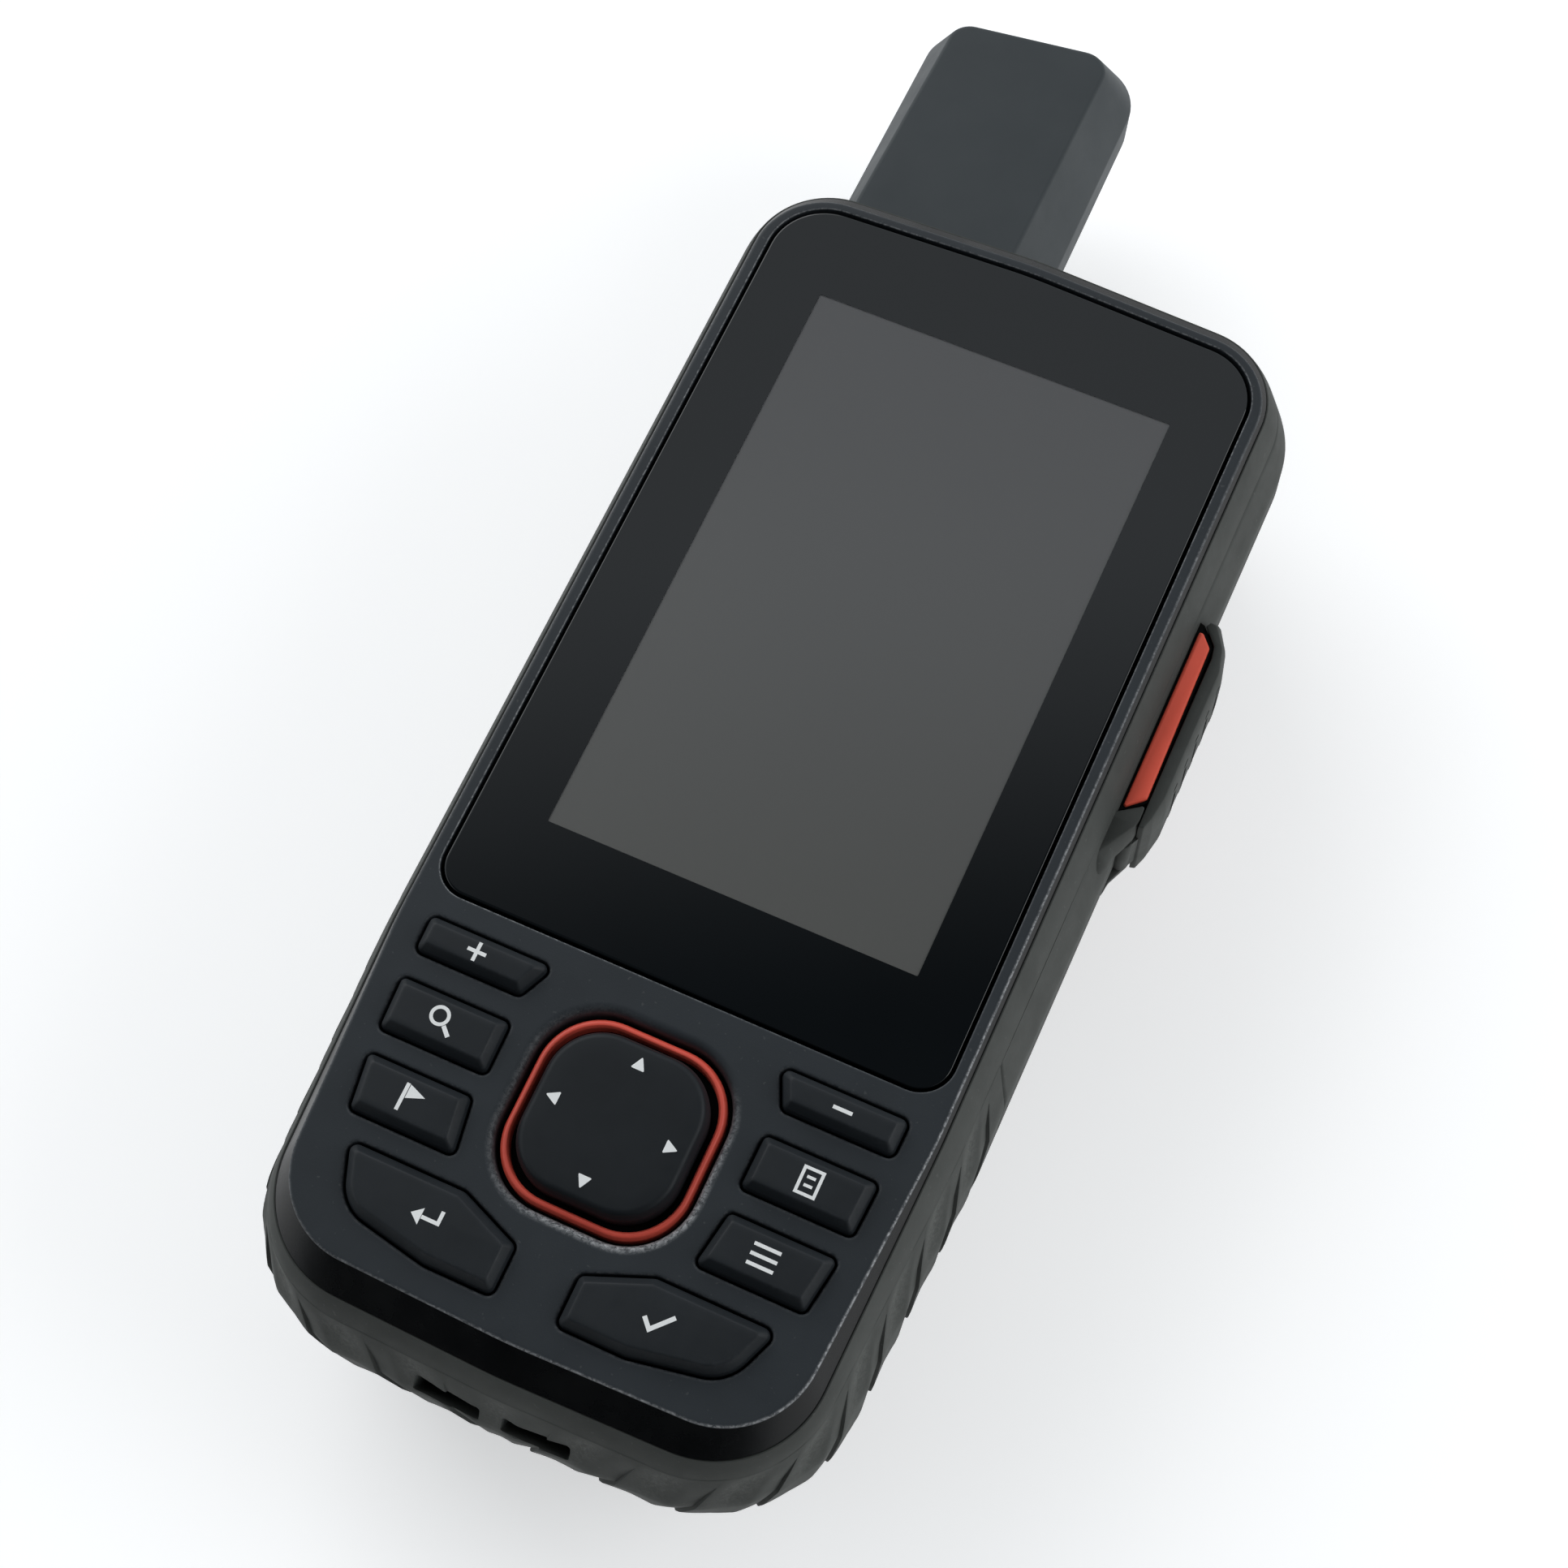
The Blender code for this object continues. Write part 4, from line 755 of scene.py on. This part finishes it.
def grip_pads():
    half = grip_stations()
    reference = Level(9.5, 0.0)
    half = np.concatenate([half[half < reference.reach - 0.6], reference.reach - np.array([0.3, 0.12, 0.0])])
    stations = np.concatenate([-half[::-1], half[1:]])
    distance = np.abs(stations)
    skin = Skin()
    rows = []
    depths = [CREASE - 0.1] + side_depths()
    past = tooth(distance)
    step = np.where(past < 0.05, 0.0, np.clip(1 - past / 2.6, 0, 1))
    facet = np.clip(1 - np.abs(past - 4.9) / 2.2, 0, 1) ** 0.6 * (past < PITCH - 0.2)
    lean = SLANT * np.clip(distance / 6, 0, 1) * np.clip((reference.reach - distance) / 9, 0, 1)
    for depth in depths:
        level = Level(depth, rim_inset(depth) if depth > 12 else -0.012)
        moved = stations - np.sign(stations) * lean * np.clip(depth - 9.5, -5, 6)
        stretch = np.clip(1 - (reference.reach - distance) / 14, 0, 1)
        place = level.chin + moved + np.sign(stations) * (level.reach - reference.reach) * stretch
        points = level.at(place)
        deep = float(np.interp(depth, [5.6, 8.0, 17.5, 22.2], [0, 1, 1, 0.3]))
        shoulder = float(np.interp(depth, [4.7, 6.0, 8.6, 10.4], [0.1, 1, 0.55, 0]))
        end = np.clip((reference.reach - distance) / 0.35, 0, 1)
        sunk = 0.36 * step * deep + 0.30 * facet * shoulder + 0.16 * facet * deep + 0.22 * (1 - end) ** 2
        points = points - level.normals(place) * sunk[:, None]
        # Painted highlight: the facets near the shoulder are made lighter through the per-vertex value given to ring.
        rows.append(skin.ring(lifted(points, depth), 0.75 * facet * shoulder))
    for depth in (22.5, 4.75):
        level = Level(depths[-1], 1.8) if depth > 20 else Level(depth, 1.5)
        rows.append(skin.ring(lifted(level.at(level.chin + stations * level.reach / reference.reach), depth)))
    for lower, upper in zip(rows, rows[1:] + rows[:1]):
        skin.strip(lower, upper, closed=False)
    for side in (0, -1):
        skin.fill([[row[side] for row in rows]])
    made = skin.build("grip_pads", [RUBBER, LIT_SLOT_RUBBER], "chassis", "grip_bumper", 28)
    for low, high in SLOTS:
        cut(made, strap_mouth(low, high))
    passage = block((-10.0, 10.0), (-82.6, -76.0), (6.8, 14.6))
    tunnel = block((-7.7, 7.7), (-81.2, -77.6), SLOT_DEPTHS)
    cut(passage, tunnel)
    for low, high in SLOTS:
        cut(passage, block((low, high), (-90.0, -81.0), SLOT_DEPTHS))
    passage.name = "strap_passage"
    passage.data.materials.clear()
    # The strap passage takes the rubber painted lighter than the grey rubber round it.
    passage.data.materials.append(LIT_SLOT_RUBBER)
    settle(passage, "chassis")


def block(x, y, depths):
    ring = box_ring(sum(x) / 2, sum(y) / 2, (x[1] - x[0]) / 2, (y[1] - y[0]) / 2, 0.3, 3)
    return punch(ring, *depths)


def strap_mouth(low, high):
    """A slot that opens outwards and towards the face, over a raised sill."""
    inner, outer = sorted((low, high), key=abs)
    sign = 1 if outer > 0 else -1
    near, far = SLOT_DEPTHS
    rings = []
    for y, flare, rise, sill in ((-80.5, 0.0, 0.0, 0.0), (-82.5, 0.0, 0.0, 0.0), (-82.65, 0.1, 1.1, 1.6),
                                 (-83.3, 0.3, 1.2, 2.9), (-83.95, 0.5, 1.3, 4.2), (-88.0, 1.4, 1.4, 4.7)):
        corners = [(inner - sign * flare * 0.1, near - rise), (outer + sign * flare, near - rise),
                   (outer + sign * flare * 0.3, far - sill), (inner - sign * flare * 0.1, far - sill)]
        ring = rounded([(x, d, 0.45) for x, d in corners], 5)
        rings.append(np.column_stack([ring[:, 0], np.full(len(ring), y), FACE_Z - ring[:, 1]]))
    # The cut faces are given the cutter's slot 1; on grip_pads that slot holds the rubber painted lighter.
    return cutter(rings, 1)


def rubber_band():
    """The band under the front frame, all the way round, and the smooth sides above the grip."""
    skin = Skin()
    brim, brim_depth = brim_ring(0.10)
    tuck, _ = brim_ring(-0.5)
    lower = body_ring(CREASE - 0.12, 0.0)
    rows = [lifted(tuck, brim_depth + 0.45), lifted(brim_ring(0.02)[0], brim_depth + 0.16)]
    rows += [lifted(brim, brim_depth + 0.10), lifted(brim_ring(0.22)[0], brim_depth + 0.13)]
    start, start_depth = brim_ring(0.22)[0], brim_depth + 0.13
    for share in (0.12, 0.3, 0.5, 0.7, 0.88, 1.0):
        bulge = 0.10 * math.sin(math.pi * share)
        ring = start + (lower - start) * share
        rows.append(lifted(moved_in(ring, -bulge), start_depth + (CREASE - 0.12 - start_depth) * share))
    fade = crease_fade(lower[:, 1])[:, None]
    for inset, depth in ((0.12, CREASE - 0.05), (0.2, CREASE)):
        rows.append(lifted(body_ring(depth) + (body_ring(depth, inset) - body_ring(depth)) * fade, depth))
    rows.append(lifted(body_ring(CREASE + 0.1, 0.9), CREASE + 0.1))
    skin.loft(rows)
    reference = Level(9.5, 0.0)
    upper_reach = reference.total - 2 * reference.reach
    count = 520
    share = np.linspace(0.0, 1.0, count)
    lead = np.array([0.0, 0.10, 0.25]) / upper_reach
    share = np.concatenate([lead, share[1:-1], 1 - lead[::-1]])
    sheets = []
    depths = side_depths()
    for depth in depths:
        level = Level(depth, rim_inset(depth))
        span = level.total - 2 * level.reach
        place = level.chin + level.reach + 0.06 + share * (span - 0.12)
        points = level.at(place)
        ends = np.clip(np.minimum(share, 1 - share) * upper_reach / 0.3, 0, 1)
        tuck = 0.16 * np.exp(-((depth - CREASE) / 0.16) ** 2) * crease_fade(points[:, 1])
        points -= level.normals(place) * (0.2 * (1 - ends) ** 2 + tuck)[:, None]
        sheets.append(skin.ring(lifted(points, depth)))
    level = Level(depths[-1], 1.8)
    place = level.chin + level.reach + share * (level.total - 2 * level.reach)
    sheets.append(skin.ring(lifted(level.at(place), 22.5)))
    for depth, lower_row, upper_row in zip(depths, sheets, sheets[1:]):
        first = len(skin.faces)
        skin.strip(lower_row, upper_row, closed=False)
        if 6.4 <= depth < 16.0:
            keep = [f for f in skin.faces[first:] if not (skin.verts[f[0]][0] > 0 and -4.6 < skin.verts[f[0]][1] < 13.6)]
            skin.faces[first:] = keep
            skin.slots[first:] = [0] * len(keep)
    for side in (0, -1):
        back = skin.ring([np.array(skin.verts[row[side]]) * (0.955, 1.0, 1.0) for row in sheets])
        skin.strip([row[side] for row in sheets], back, closed=False)
    return skin.build("rubber_band", [RUBBER], "chassis", "side_overmould", 28)


# ================================================================ cutting
def cut(target, *cutters):
    for cutter in cutters:
        step = target.modifiers.new("cut", "BOOLEAN")
        step.operation = "DIFFERENCE"
        step.solver = "EXACT"
        step.object = cutter
        bpy.context.view_layer.update()
        with bpy.context.temp_override(object=target, active_object=target, selected_objects=[target]):
            bpy.ops.object.modifier_apply(modifier=step.name)
        bpy.data.objects.remove(cutter)
    target.data.shade_smooth()
    target.data.set_sharp_from_angle(angle=math.radians(30))


def cutter(rings, slot=0):
    skin = Skin()
    skin.solid(rings)
    slots = [slot] * len(skin.faces)
    return add_mesh("cutter", skin.verts, skin.faces, [SHADE_BLACK, SHADE_BLACK], None, face_slots=slots)


def punch(ring, near, far):
    """A cutter with straight walls between two depths."""
    return cutter([lifted(ring, near), lifted(ring, far)])


# ================================================================ back shell
POSTS = ((18.0, 37.0), (-18.0, 37.0), (22.9, -20.0), (-22.9, -20.0), (0.0, -72.3))
SPINE_SCREWS = (-34.0, 8.0)
CAPS = {"port_cap": (15.5, 2.7, -3.2, 5.6), "card_cap": (-15.5, 2.0, -5.7, 6.1)}
CAP_Y, CAP_HALF_X, CAP_HALF_Y = 26.5, 4.6, 7.2
LAMP_Y = 30.5
SOUND_X, SOUND_Y, SOUND_STEP = 13.5, 9.5, 2.2
SHELL_WALL, SHELL_BACK, SHELL_ROUND = 25.8, 29.6, 4.2


def back_shell():
    skin = Skin()
    start = ((22.7, 2.0, 22.62), (22.7, 0.32, 22.62), (22.75, 0.12, 22.7), (22.9, 0.02, 22.9),
             (23.8, 0.0, 23.8), (24.8, 0.0, 24.8), (25.8, 0.0, 25.8))
    rows = [lifted(body_ring(outline, inset), depth) for outline, inset, depth in start]
    for k in range(1, 9):
        angle = math.pi / 2 * k / 8
        depth = SHELL_WALL + (SHELL_BACK - SHELL_WALL) * math.sin(angle)
        rows.append(lifted(body_ring(SHELL_WALL, SHELL_ROUND * (1 - math.cos(angle))), depth))
    rows.append(lifted(body_ring(SHELL_WALL, 4.6), SHELL_BACK))
    skin.solid(rows)
    shell = skin.build("back_shell", [BACK], "chassis", "rear_housing", 30)
    cuts = [cutter([lifted(body_ring(20.0, 4.2, 8), 21.0), lifted(body_ring(20.0, 4.6, 8), 26.6)])]
    for x, y in POSTS:
        cuts.append(cutter([lifted(circle(x, y, 2.0), 28.1), lifted(circle(x, y, 2.05), 31.0)]))
    for x, half, low, high in CAPS.values():
        seat = box_ring(x, CAP_Y - 0.5, CAP_HALF_X + 0.22, CAP_HALF_Y + 0.72, 1.0)
        middle = CAP_Y + (low + high) / 2
        way = box_ring(x, middle, half, (high - low) / 2, 0.6, 5)
        cuts += [punch(seat, 28.1, 31.0), punch(way, 25.0, 29.0)]
    cuts.append(cutter([lifted(circle(0, LAMP_Y, 3.62, 64), 26.0), lifted(circle(0, LAMP_Y, 3.7, 64), 31.0)]))
    for k in range(3):
        cuts.append(punch(circle(SOUND_X + SOUND_STEP * (k - 1), SOUND_Y, 0.6, 24), 26.0, 31.0))
    cut(shell, *cuts)
    soften(shell, 0.12)
    return shell


def soften(target, width, segments=3, angle=50):
    step = target.modifiers.new("soft_edges", "BEVEL")
    step.width = width * MM
    step.segments = segments
    step.limit_method = "ANGLE"
    step.angle_limit = math.radians(angle)
    step.use_clamp_overlap = True
    step.harden_normals = False


def spine():
    wide = lambda inset: box_ring(0.0, -13.0, 9.0 - inset, 29.0 - inset, 4.0 - inset, 12)
    neck = box_ring(0.0, -13.0, 6.8, 27.8, 3.0, 12)
    skin = Skin()
    rows = [lifted(neck, 29.55), lifted(neck, 31.7)]
    for inset, depth in fillet([(2.2, 31.7, 0), (0.0, 31.7, 0.15), (0.0, 33.5, 0.3), (1.0, 33.5, 0)], 4)[1:]:
        rows.append(lifted(wide(inset), depth))
    skin.solid(rows)
    made = skin.build("rear_rail", [BACK], "chassis", "mounting_spine", 30)
    cuts = [cutter([lifted(circle(0, y, 2.0), 31.5), lifted(circle(0, y, 2.05), 35.0)]) for y in SPINE_SCREWS]
    for k in range(3):
        groove = box_ring(0.0, 4.0 - 9.0 * k, 5.0, 1.2, 0.6, 6)
        cuts.append(punch(groove, 32.7, 35.0))
    cut(made, *cuts)
    soften(made, 0.1)


def caps():
    for name, (x, half, low, high) in CAPS.items():
        skin = Skin()
        plug = box_ring(x, CAP_Y + (low + 0.8 + high - 0.4) / 2, half - 0.4, (high - low - 1.2) / 2, 0.5, 8)
        rows = [lifted(plug, 27.4), lifted(plug, 28.5)]
        plate = lambda inset: box_ring(x, CAP_Y, CAP_HALF_X - inset, CAP_HALF_Y - inset, 0.9 - min(inset, 0.5), 8)
        for inset, depth in fillet([(0.0, 28.5, 0), (0.0, 29.6, 0.3), (1.0, 29.6, 0)], 5):
            rows.append(lifted(plate(inset), depth))
        skin.solid(rows)
        tab = lambda inset: box_ring(x, CAP_Y + CAP_HALF_Y - 2.0, 1.7 - inset, 0.65 - inset, 0.4 - inset * 0.5, 6)
        tab_rows = [lifted(tab(i), d) for i, d in fillet(
            [(-0.15, 29.5, 0), (0.0, 29.7, 0.2), (0.0, 30.25, 0.2), (0.3, 30.3, 0)], 4)]
        skin.solid(tab_rows)
        for k in range(4):
            rib = box_ring(x, CAP_Y - 4.6 + 2.0 * k, 3.0, 0.28, 0.2, 4)
            inner_rib = box_ring(x, CAP_Y - 4.6 + 2.0 * k, 2.85, 0.14, 0.1, 4)
            skin.solid([lifted(rib, 29.5), lifted(rib, 29.66), lifted(inner_rib, 29.78)])
        skin.build(name + "_skin", [CAP], name + "_body", name, 35)


def lamp():
    skin = Skin()
    rows = [lifted(circle(0, LAMP_Y, 3.4, 64), 27.3), lifted(circle(0, LAMP_Y, 3.4, 64), 29.0)]
    for radius, depth in ((3.3, 29.2), (3.0, 29.34), (2.7, 29.38), (2.6, 29.1), (1.9, 28.95), (1.0, 28.9)):
        rows.append(lifted(circle(0, LAMP_Y, radius, 64), depth))
    skin.solid(rows)
    skin.build("lamp_window", [LAMP], "chassis", "lamp_lens", 30)


def lamp_material():
    n = Nodes("lamp_clear")
    n.give("Base Color", n.mix(n.noise(1.2, 3.0), (0.62, 0.64, 0.66), (0.72, 0.73, 0.75)))
    n.give("Roughness", n.remap(n.noise(0.6), 0.3, 0.7, 0.1, 0.22))
    n.give("Coat Weight", 0.6)
    return n.material


LAMP = lamp_material()


# ================================================================ aerial
def aerial_ring(inset, base_y, steps=14):
    sharp = [(-24.9, base_y), (-24.5, 75.4), (-0.7, 78.6), (-0.3, base_y)]
    inside = moved_in(sharp, inset)
    radii = (0.0, 4.4 - inset * 0.62, 5.6 - inset * 0.9, 0.0)
    return rounded([(p[0], base_y if r == 0.0 else p[1], r) for p, r in zip(inside, radii)], steps)


def aerial():
    profile = fillet([(8.0, 0.0, 0), (3.25, 0.0, 0.5), (0.0, 8.6, 1.3),
                      (0.25, 13.6, 1.0), (3.2, 18.2, 1.2), (8.0, 18.3, 0)], 8)
    skin = Skin()
    rows = []
    for inset, below in profile:
        ring = aerial_ring(min(inset, 6.0), 40.0)
        tilt = np.clip(1 - below / 9.0, 0, 1)
        depth = 6.0 + below + (ring[:, 1] - 44.0) * 0.08 * tilt
        rows.append(lifted(ring, depth))
    skin.solid(rows)
    skin.build("aerial_stub", [AERIAL], "chassis", "aerial_cover", 40)


# ================================================================ side unit
def side_ring(low, high, near, far, x, radius, steps=8):
    ring = rounded([(low, near, radius), (high, near, radius), (high, far, radius), (low, far, radius)], steps)
    return np.column_stack([np.full(len(ring), x), ring[:, 0], FACE_Z - ring[:, 1]])


def inset_ring(points, inset, depth):
    """A plan outline of (x, y, radius) points, moved in and rounded, at a depth."""
    sharp = moved_in([q[:2] for q in points], inset)
    return lifted(rounded([(c[0], c[1], max(q[2] - inset * 0.5, 0.05)) for c, q in zip(sharp, points)], 8), depth)


def plan(points, near, far, edge):
    """Rings for a solid whose plan is (x, y, radius) points, between two depths, with rounded top and bottom edges."""
    levels = [(edge, near), (edge * 0.3, near + edge * 0.3), (0.0, near + edge)]
    levels += [(0.0, far - edge), (edge * 0.3, far - edge * 0.3), (edge, far)]
    return [inset_ring(points, inset, depth) for inset, depth in levels]


def between(first, second, share, inset, depth):
    """A ring part of the way from one plan outline to another with as many corners."""
    return inset_ring(np.array(first) * (1 - share) + np.array(second) * share, inset, depth)


PIN_X, PIN_Y = 31.2, -9.2
LID_MIDDLE_TWICE = 22.5


def side_unit():
    well = lambda: cutter([side_ring(-1.75, 7.95, 8.35, 14.25, x, 1.5) for x in (28.0, 33.0)])
    red = Skin()
    strip = [(29.95, 13.15, 0.2), (30.4, 13.15, 0.4), (31.55, 11.85, 0.5), (31.85, -5.4, 0.4), (29.95, -7.1, 0.2)]
    red.solid(plan(strip, 5.45, 17.1, 0.25))
    made = red.build("red_surround", [RED], "chassis", "sos_frame", 30)
    cut(made, well())
    # Painted shade: a near-black block round the red surround stands for the shadow gap between it and the lid.
    shade_block = Skin()
    outline = [(29.3, 14.4, 0.2), (30.2, 14.1, 0.3), (31.85, 12.1, 0.4), (32.03, -5.7, 0.2), (29.3, -7.8, 0.2)]
    shade_block.solid(plan(outline, 5.75, 16.8, 0.15))
    made = shade_block.build("side_shade_block", [SHADE_BLACK], "chassis", slot="sos_frame", sharp=30)
    cut(made, well())
    for number, flip in ((1, lambda depth: depth), (2, lambda depth: 22.6 - depth)):
        ear = Skin()
        shallow = [(28.9, -8.2, 0.1), (31.95, -6.05, 0.2), (31.98, -7.6, 0.3), (31.8, -8.4, 0.8), (31.1, -9.6, 1.6),
                   (30.4, -10.9, 2.2), (29.4, -12.6, 1.0), (28.7, -12.8, 0.3)]
        full = [(28.9, -8.2, 0.1), (32.0, -5.98, 0.2), (32.03, -8.35, 0.3), (31.92, -8.95, 0.55), (31.45, -10.2, 1.6),
                (30.95, -11.4, 3.0), (30.7, -14.0, 2.0), (28.9, -14.2, 0.3)]
        rings = [between(shallow, full, share, inset, flip(depth)) for share, inset, depth in
                 ((0.0, 0.1, 5.42), (0.0, 0.03, 5.46), (0.06, 0.0, 5.54), (0.45, 0.0, 6.0), (0.85, 0.0, 6.8),
                  (1.0, 0.0, 7.4), (1.0, 0.0, 7.9), (1.0, 0.1, 7.98))]
        ear.solid(rings)
        ear.build(f"lid_ear_{number}", [RUBBER], "chassis", slot="sos_frame", sharp=40)
    lid = Skin()
    shallow = [(32.1, 10.9, 0.4), (31.85, 12.2, 0.4), (30.35, 13.95, 0.06), (30.65, 14.5, 0.15), (31.35, 14.35, 0.5),
               (32.7, 12.3, 1.6), (33.35, 9.8, 3.0), (33.35, -4.6, 1.6), (33.0, -7.0, 1.0), (32.65, -8.2, 0.25),
               (32.1, -8.35, 0.06)]
    full = [(32.1, 10.9, 0.4), (32.0, 12.3, 0.4), (31.0, 13.6, 0.06), (30.95, 15.3, 0.15), (31.75, 15.2, 0.6),
            (33.1, 12.9, 1.8), (33.8, 10.0, 3.0), (33.8, -5.0, 1.6), (33.3, -7.3, 1.0), (32.65, -8.4, 0.25),
            (32.1, -8.45, 0.06)]
    near = ((0.0, 0.1, 5.5), (0.0, 0.03, 5.54), (0.06, 0.0, 5.62), (0.4, 0.0, 6.1), (0.72, 0.0, 6.9), (0.92, 0.0, 7.9),
            (1.0, 0.0, 9.0))
    rings = [between(shallow, full, share, inset, depth) for share, inset, depth in near]
    rings += [between(shallow, full, share, inset, LID_MIDDLE_TWICE - depth) for share, inset, depth in near[::-1]]
    lid.solid(rings)
    barrel = ((0.75, 8.2), (0.85, 8.35), (0.85, 14.25), (0.75, 14.4))
    lid.solid([lifted(circle(PIN_X, PIN_Y, radius, 32), depth) for radius, depth in barrel])
    web = [(31.6, -9.2), (32.03, -9.2), (32.5, -8.2), (32.5, -7.4), (31.75, -7.9)]
    lid.solid([lifted(web, 8.25), lifted(web, 14.35)])
    for k in range(5):
        y = 9.0 - 2.8 * k
        rib = lambda inset, x: side_ring(y - 0.5 + inset, y + 0.5 - inset, 7.6 + inset, 15.0 - inset, x, 0.3)
        lid.solid([rib(0.0, 33.6), rib(0.0, 33.79), rib(0.18, 33.8)])
    lid.build("emergency_lid", [RUBBER], "sos_flap_body", "sos_flap", 40)


# ================================================================ carried-over frame parts
CARRIED = {
    BOARD: ("main_board", "switch_board", "aerial_board"),
    STEEL: ("backlight_tray", "radio_shield", "satellite_modem", "usb_port", "card_socket", "sos_hinge_pin",
            "housing_screw_1", "housing_screw_2", "housing_screw_3", "housing_screw_4", "housing_screw_5",
            "spine_screw_1", "spine_screw_2"),
    COPPER: ("helix_element", "buzzer_disc"),
    SEAL: ("housing_seal", "aerial_seal", "keypad_membrane", "aerial_lead"),
    CHIP: ("processor_chip", "sos_switch", "power_switch"),
    CELL: ("battery_pack",),
    FOAM: ("battery_foam",),
    NYLON: ("battery_connector", "pad_pivot_plate"),
    CERAMIC: ("ceramic_patch",),
    EMITTER: ("lamp_led",),
    RED: ("sos_button",),
    CAP: ("power_button",),
}
SOFT_EDGES = {"power_button": 0.25, "sos_button": 0.2, "radio_shield": 0.2, "battery_pack": 0.3}


def dress_frame():
    for made, names in CARRIED.items():
        for name in names:
            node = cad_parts[name]
            node.data.materials.clear()
            node.data.materials.append(made)
            if name in SOFT_EDGES:
                soften(node, SOFT_EDGES[name], 3, 40)
            elif "screw" in name:
                soften(node, 0.12, 2, 60)


# ================================================================ stage
CAMERA_AT = (48.41, -101.75, 271.40)
CAMERA_AIM = (-0.126, -19.082, 31.3)
CAMERA_ROLL = -6.2853
FOCAL_PIXELS, PICTURE_PIXELS, SENSOR = 3336.0, 1932.0, 36.0


FLOOR_HALF, FLOOR_Z, FLOOR_GLOW = 3000.0, -0.05, 0.48


def camera():
    lens = bpy.data.cameras.new("camera")
    lens.sensor_width = SENSOR
    lens.lens = FOCAL_PIXELS / PICTURE_PIXELS * SENSOR
    lens.clip_start = 0.01
    made = bpy.data.objects.new("camera", lens)
    bpy.context.scene.collection.objects.link(made)
    at, aim = Vector(CAMERA_AT) * MM, Vector(CAMERA_AIM) * MM
    turn = (aim - at).to_track_quat("-Z", "Y")
    made.rotation_mode = "QUATERNION"
    made.rotation_quaternion = turn @ Quaternion((0, 0, 1), math.radians(CAMERA_ROLL))
    made.location = at
    bpy.context.scene.camera = made


def floor():
    corners = ((-1, -1), (1, -1), (1, 1), (-1, 1))
    skin = Skin()
    skin.fill([skin.ring([(FLOOR_HALF * a, FLOOR_HALF * b, FLOOR_Z) for a, b in corners])])
    n = Nodes("pale_floor")
    n.give("Base Color", n.mix(n.noise(180.0, 2.0), (0.86, 0.86, 0.86), (0.88, 0.88, 0.88)))
    n.give("Roughness", 0.85)
    n.give("Specular IOR Level", 0.2)
    n.give("Emission Color", (1.0, 1.0, 1.0, 1.0))
    n.give("Emission Strength", FLOOR_GLOW)
    made = skin.build("floor", [n.material], None)


def area_light(name, at, aim, size, watts, tint=(1.0, 1.0, 1.0)):
    lamp_data = bpy.data.lights.new(name, "AREA")
    lamp_data.shape = "RECTANGLE"
    lamp_data.size, lamp_data.size_y = size
    lamp_data.energy = watts
    lamp_data.color = tint
    made = bpy.data.objects.new(name, lamp_data)
    bpy.context.scene.collection.objects.link(made)
    made.location = at
    made.rotation_mode = "QUATERNION"
    made.rotation_quaternion = (Vector(aim) - Vector(at)).to_track_quat("-Z", "Y")


def lighting():
    """A pale room: brighter towards the back left, darker overhead where a camera would be, and dim in front."""
    world = bpy.data.worlds.new("studio")
    bpy.context.scene.world = world
    world.use_nodes = True
    tree = world.node_tree
    background = tree.nodes["Background"]
    direction = tree.nodes.new("ShaderNodeTexCoord").outputs["Generated"]

    def towards(axis, low, high, to_low, to_high):
        dot = tree.nodes.new("ShaderNodeVectorMath")
        dot.operation = "DOT_PRODUCT"
        dot.inputs[1].default_value = Vector(axis).normalized()
        tree.links.new(direction, dot.inputs[0])
        ramp = tree.nodes.new("ShaderNodeMapRange")
        ramp.interpolation_type = "SMOOTHSTEP"
        for key, value in zip(("From Min", "From Max", "To Min", "To Max"), (low, high, to_low, to_high)):
            ramp.inputs[key].default_value = value
        tree.links.new(dot.outputs["Value"], ramp.inputs["Value"])
        return ramp.outputs["Result"]

    def times(a, b):
        node = tree.nodes.new("ShaderNodeMath")
        node.operation = "MULTIPLY"
        tree.links.new(a, node.inputs[0])
        tree.links.new(b, node.inputs[1])
        return node.outputs[0]

    overhead = towards((0.184, -0.39, 0.90), 0.60, 0.745, 1.0, 0.10)
    front = towards((0.05, -1.0, 0.05), 0.45, 0.93, 1.0, 0.05)
    back = towards((0.10, 0.55, 0.83), 0.3, 0.9, 1.0, 0.72)
    level = times(times(overhead, front), back)
    background.inputs["Color"].default_value = (0.93, 0.985, 1.03, 1.0)
    tree.links.new(level, background.inputs["Strength"])
    area_light("key", (-0.75, 0.55, 0.65), (0.0, -0.01, 0.02), (0.9, 0.7), 4.0)
    area_light("fill", (0.85, 0.30, 0.50), (0.0, 0.0, 0.02), (0.8, 0.6), 3.1)
    bpy.context.scene.view_settings.view_transform = "Standard"


front_frame()
display()
keys()
legends()
pad()
grip_pads()
rubber_band()
back_shell()
spine()
caps()
lamp()
aerial()
side_unit()
dress_frame()
floor()
camera()
lighting()
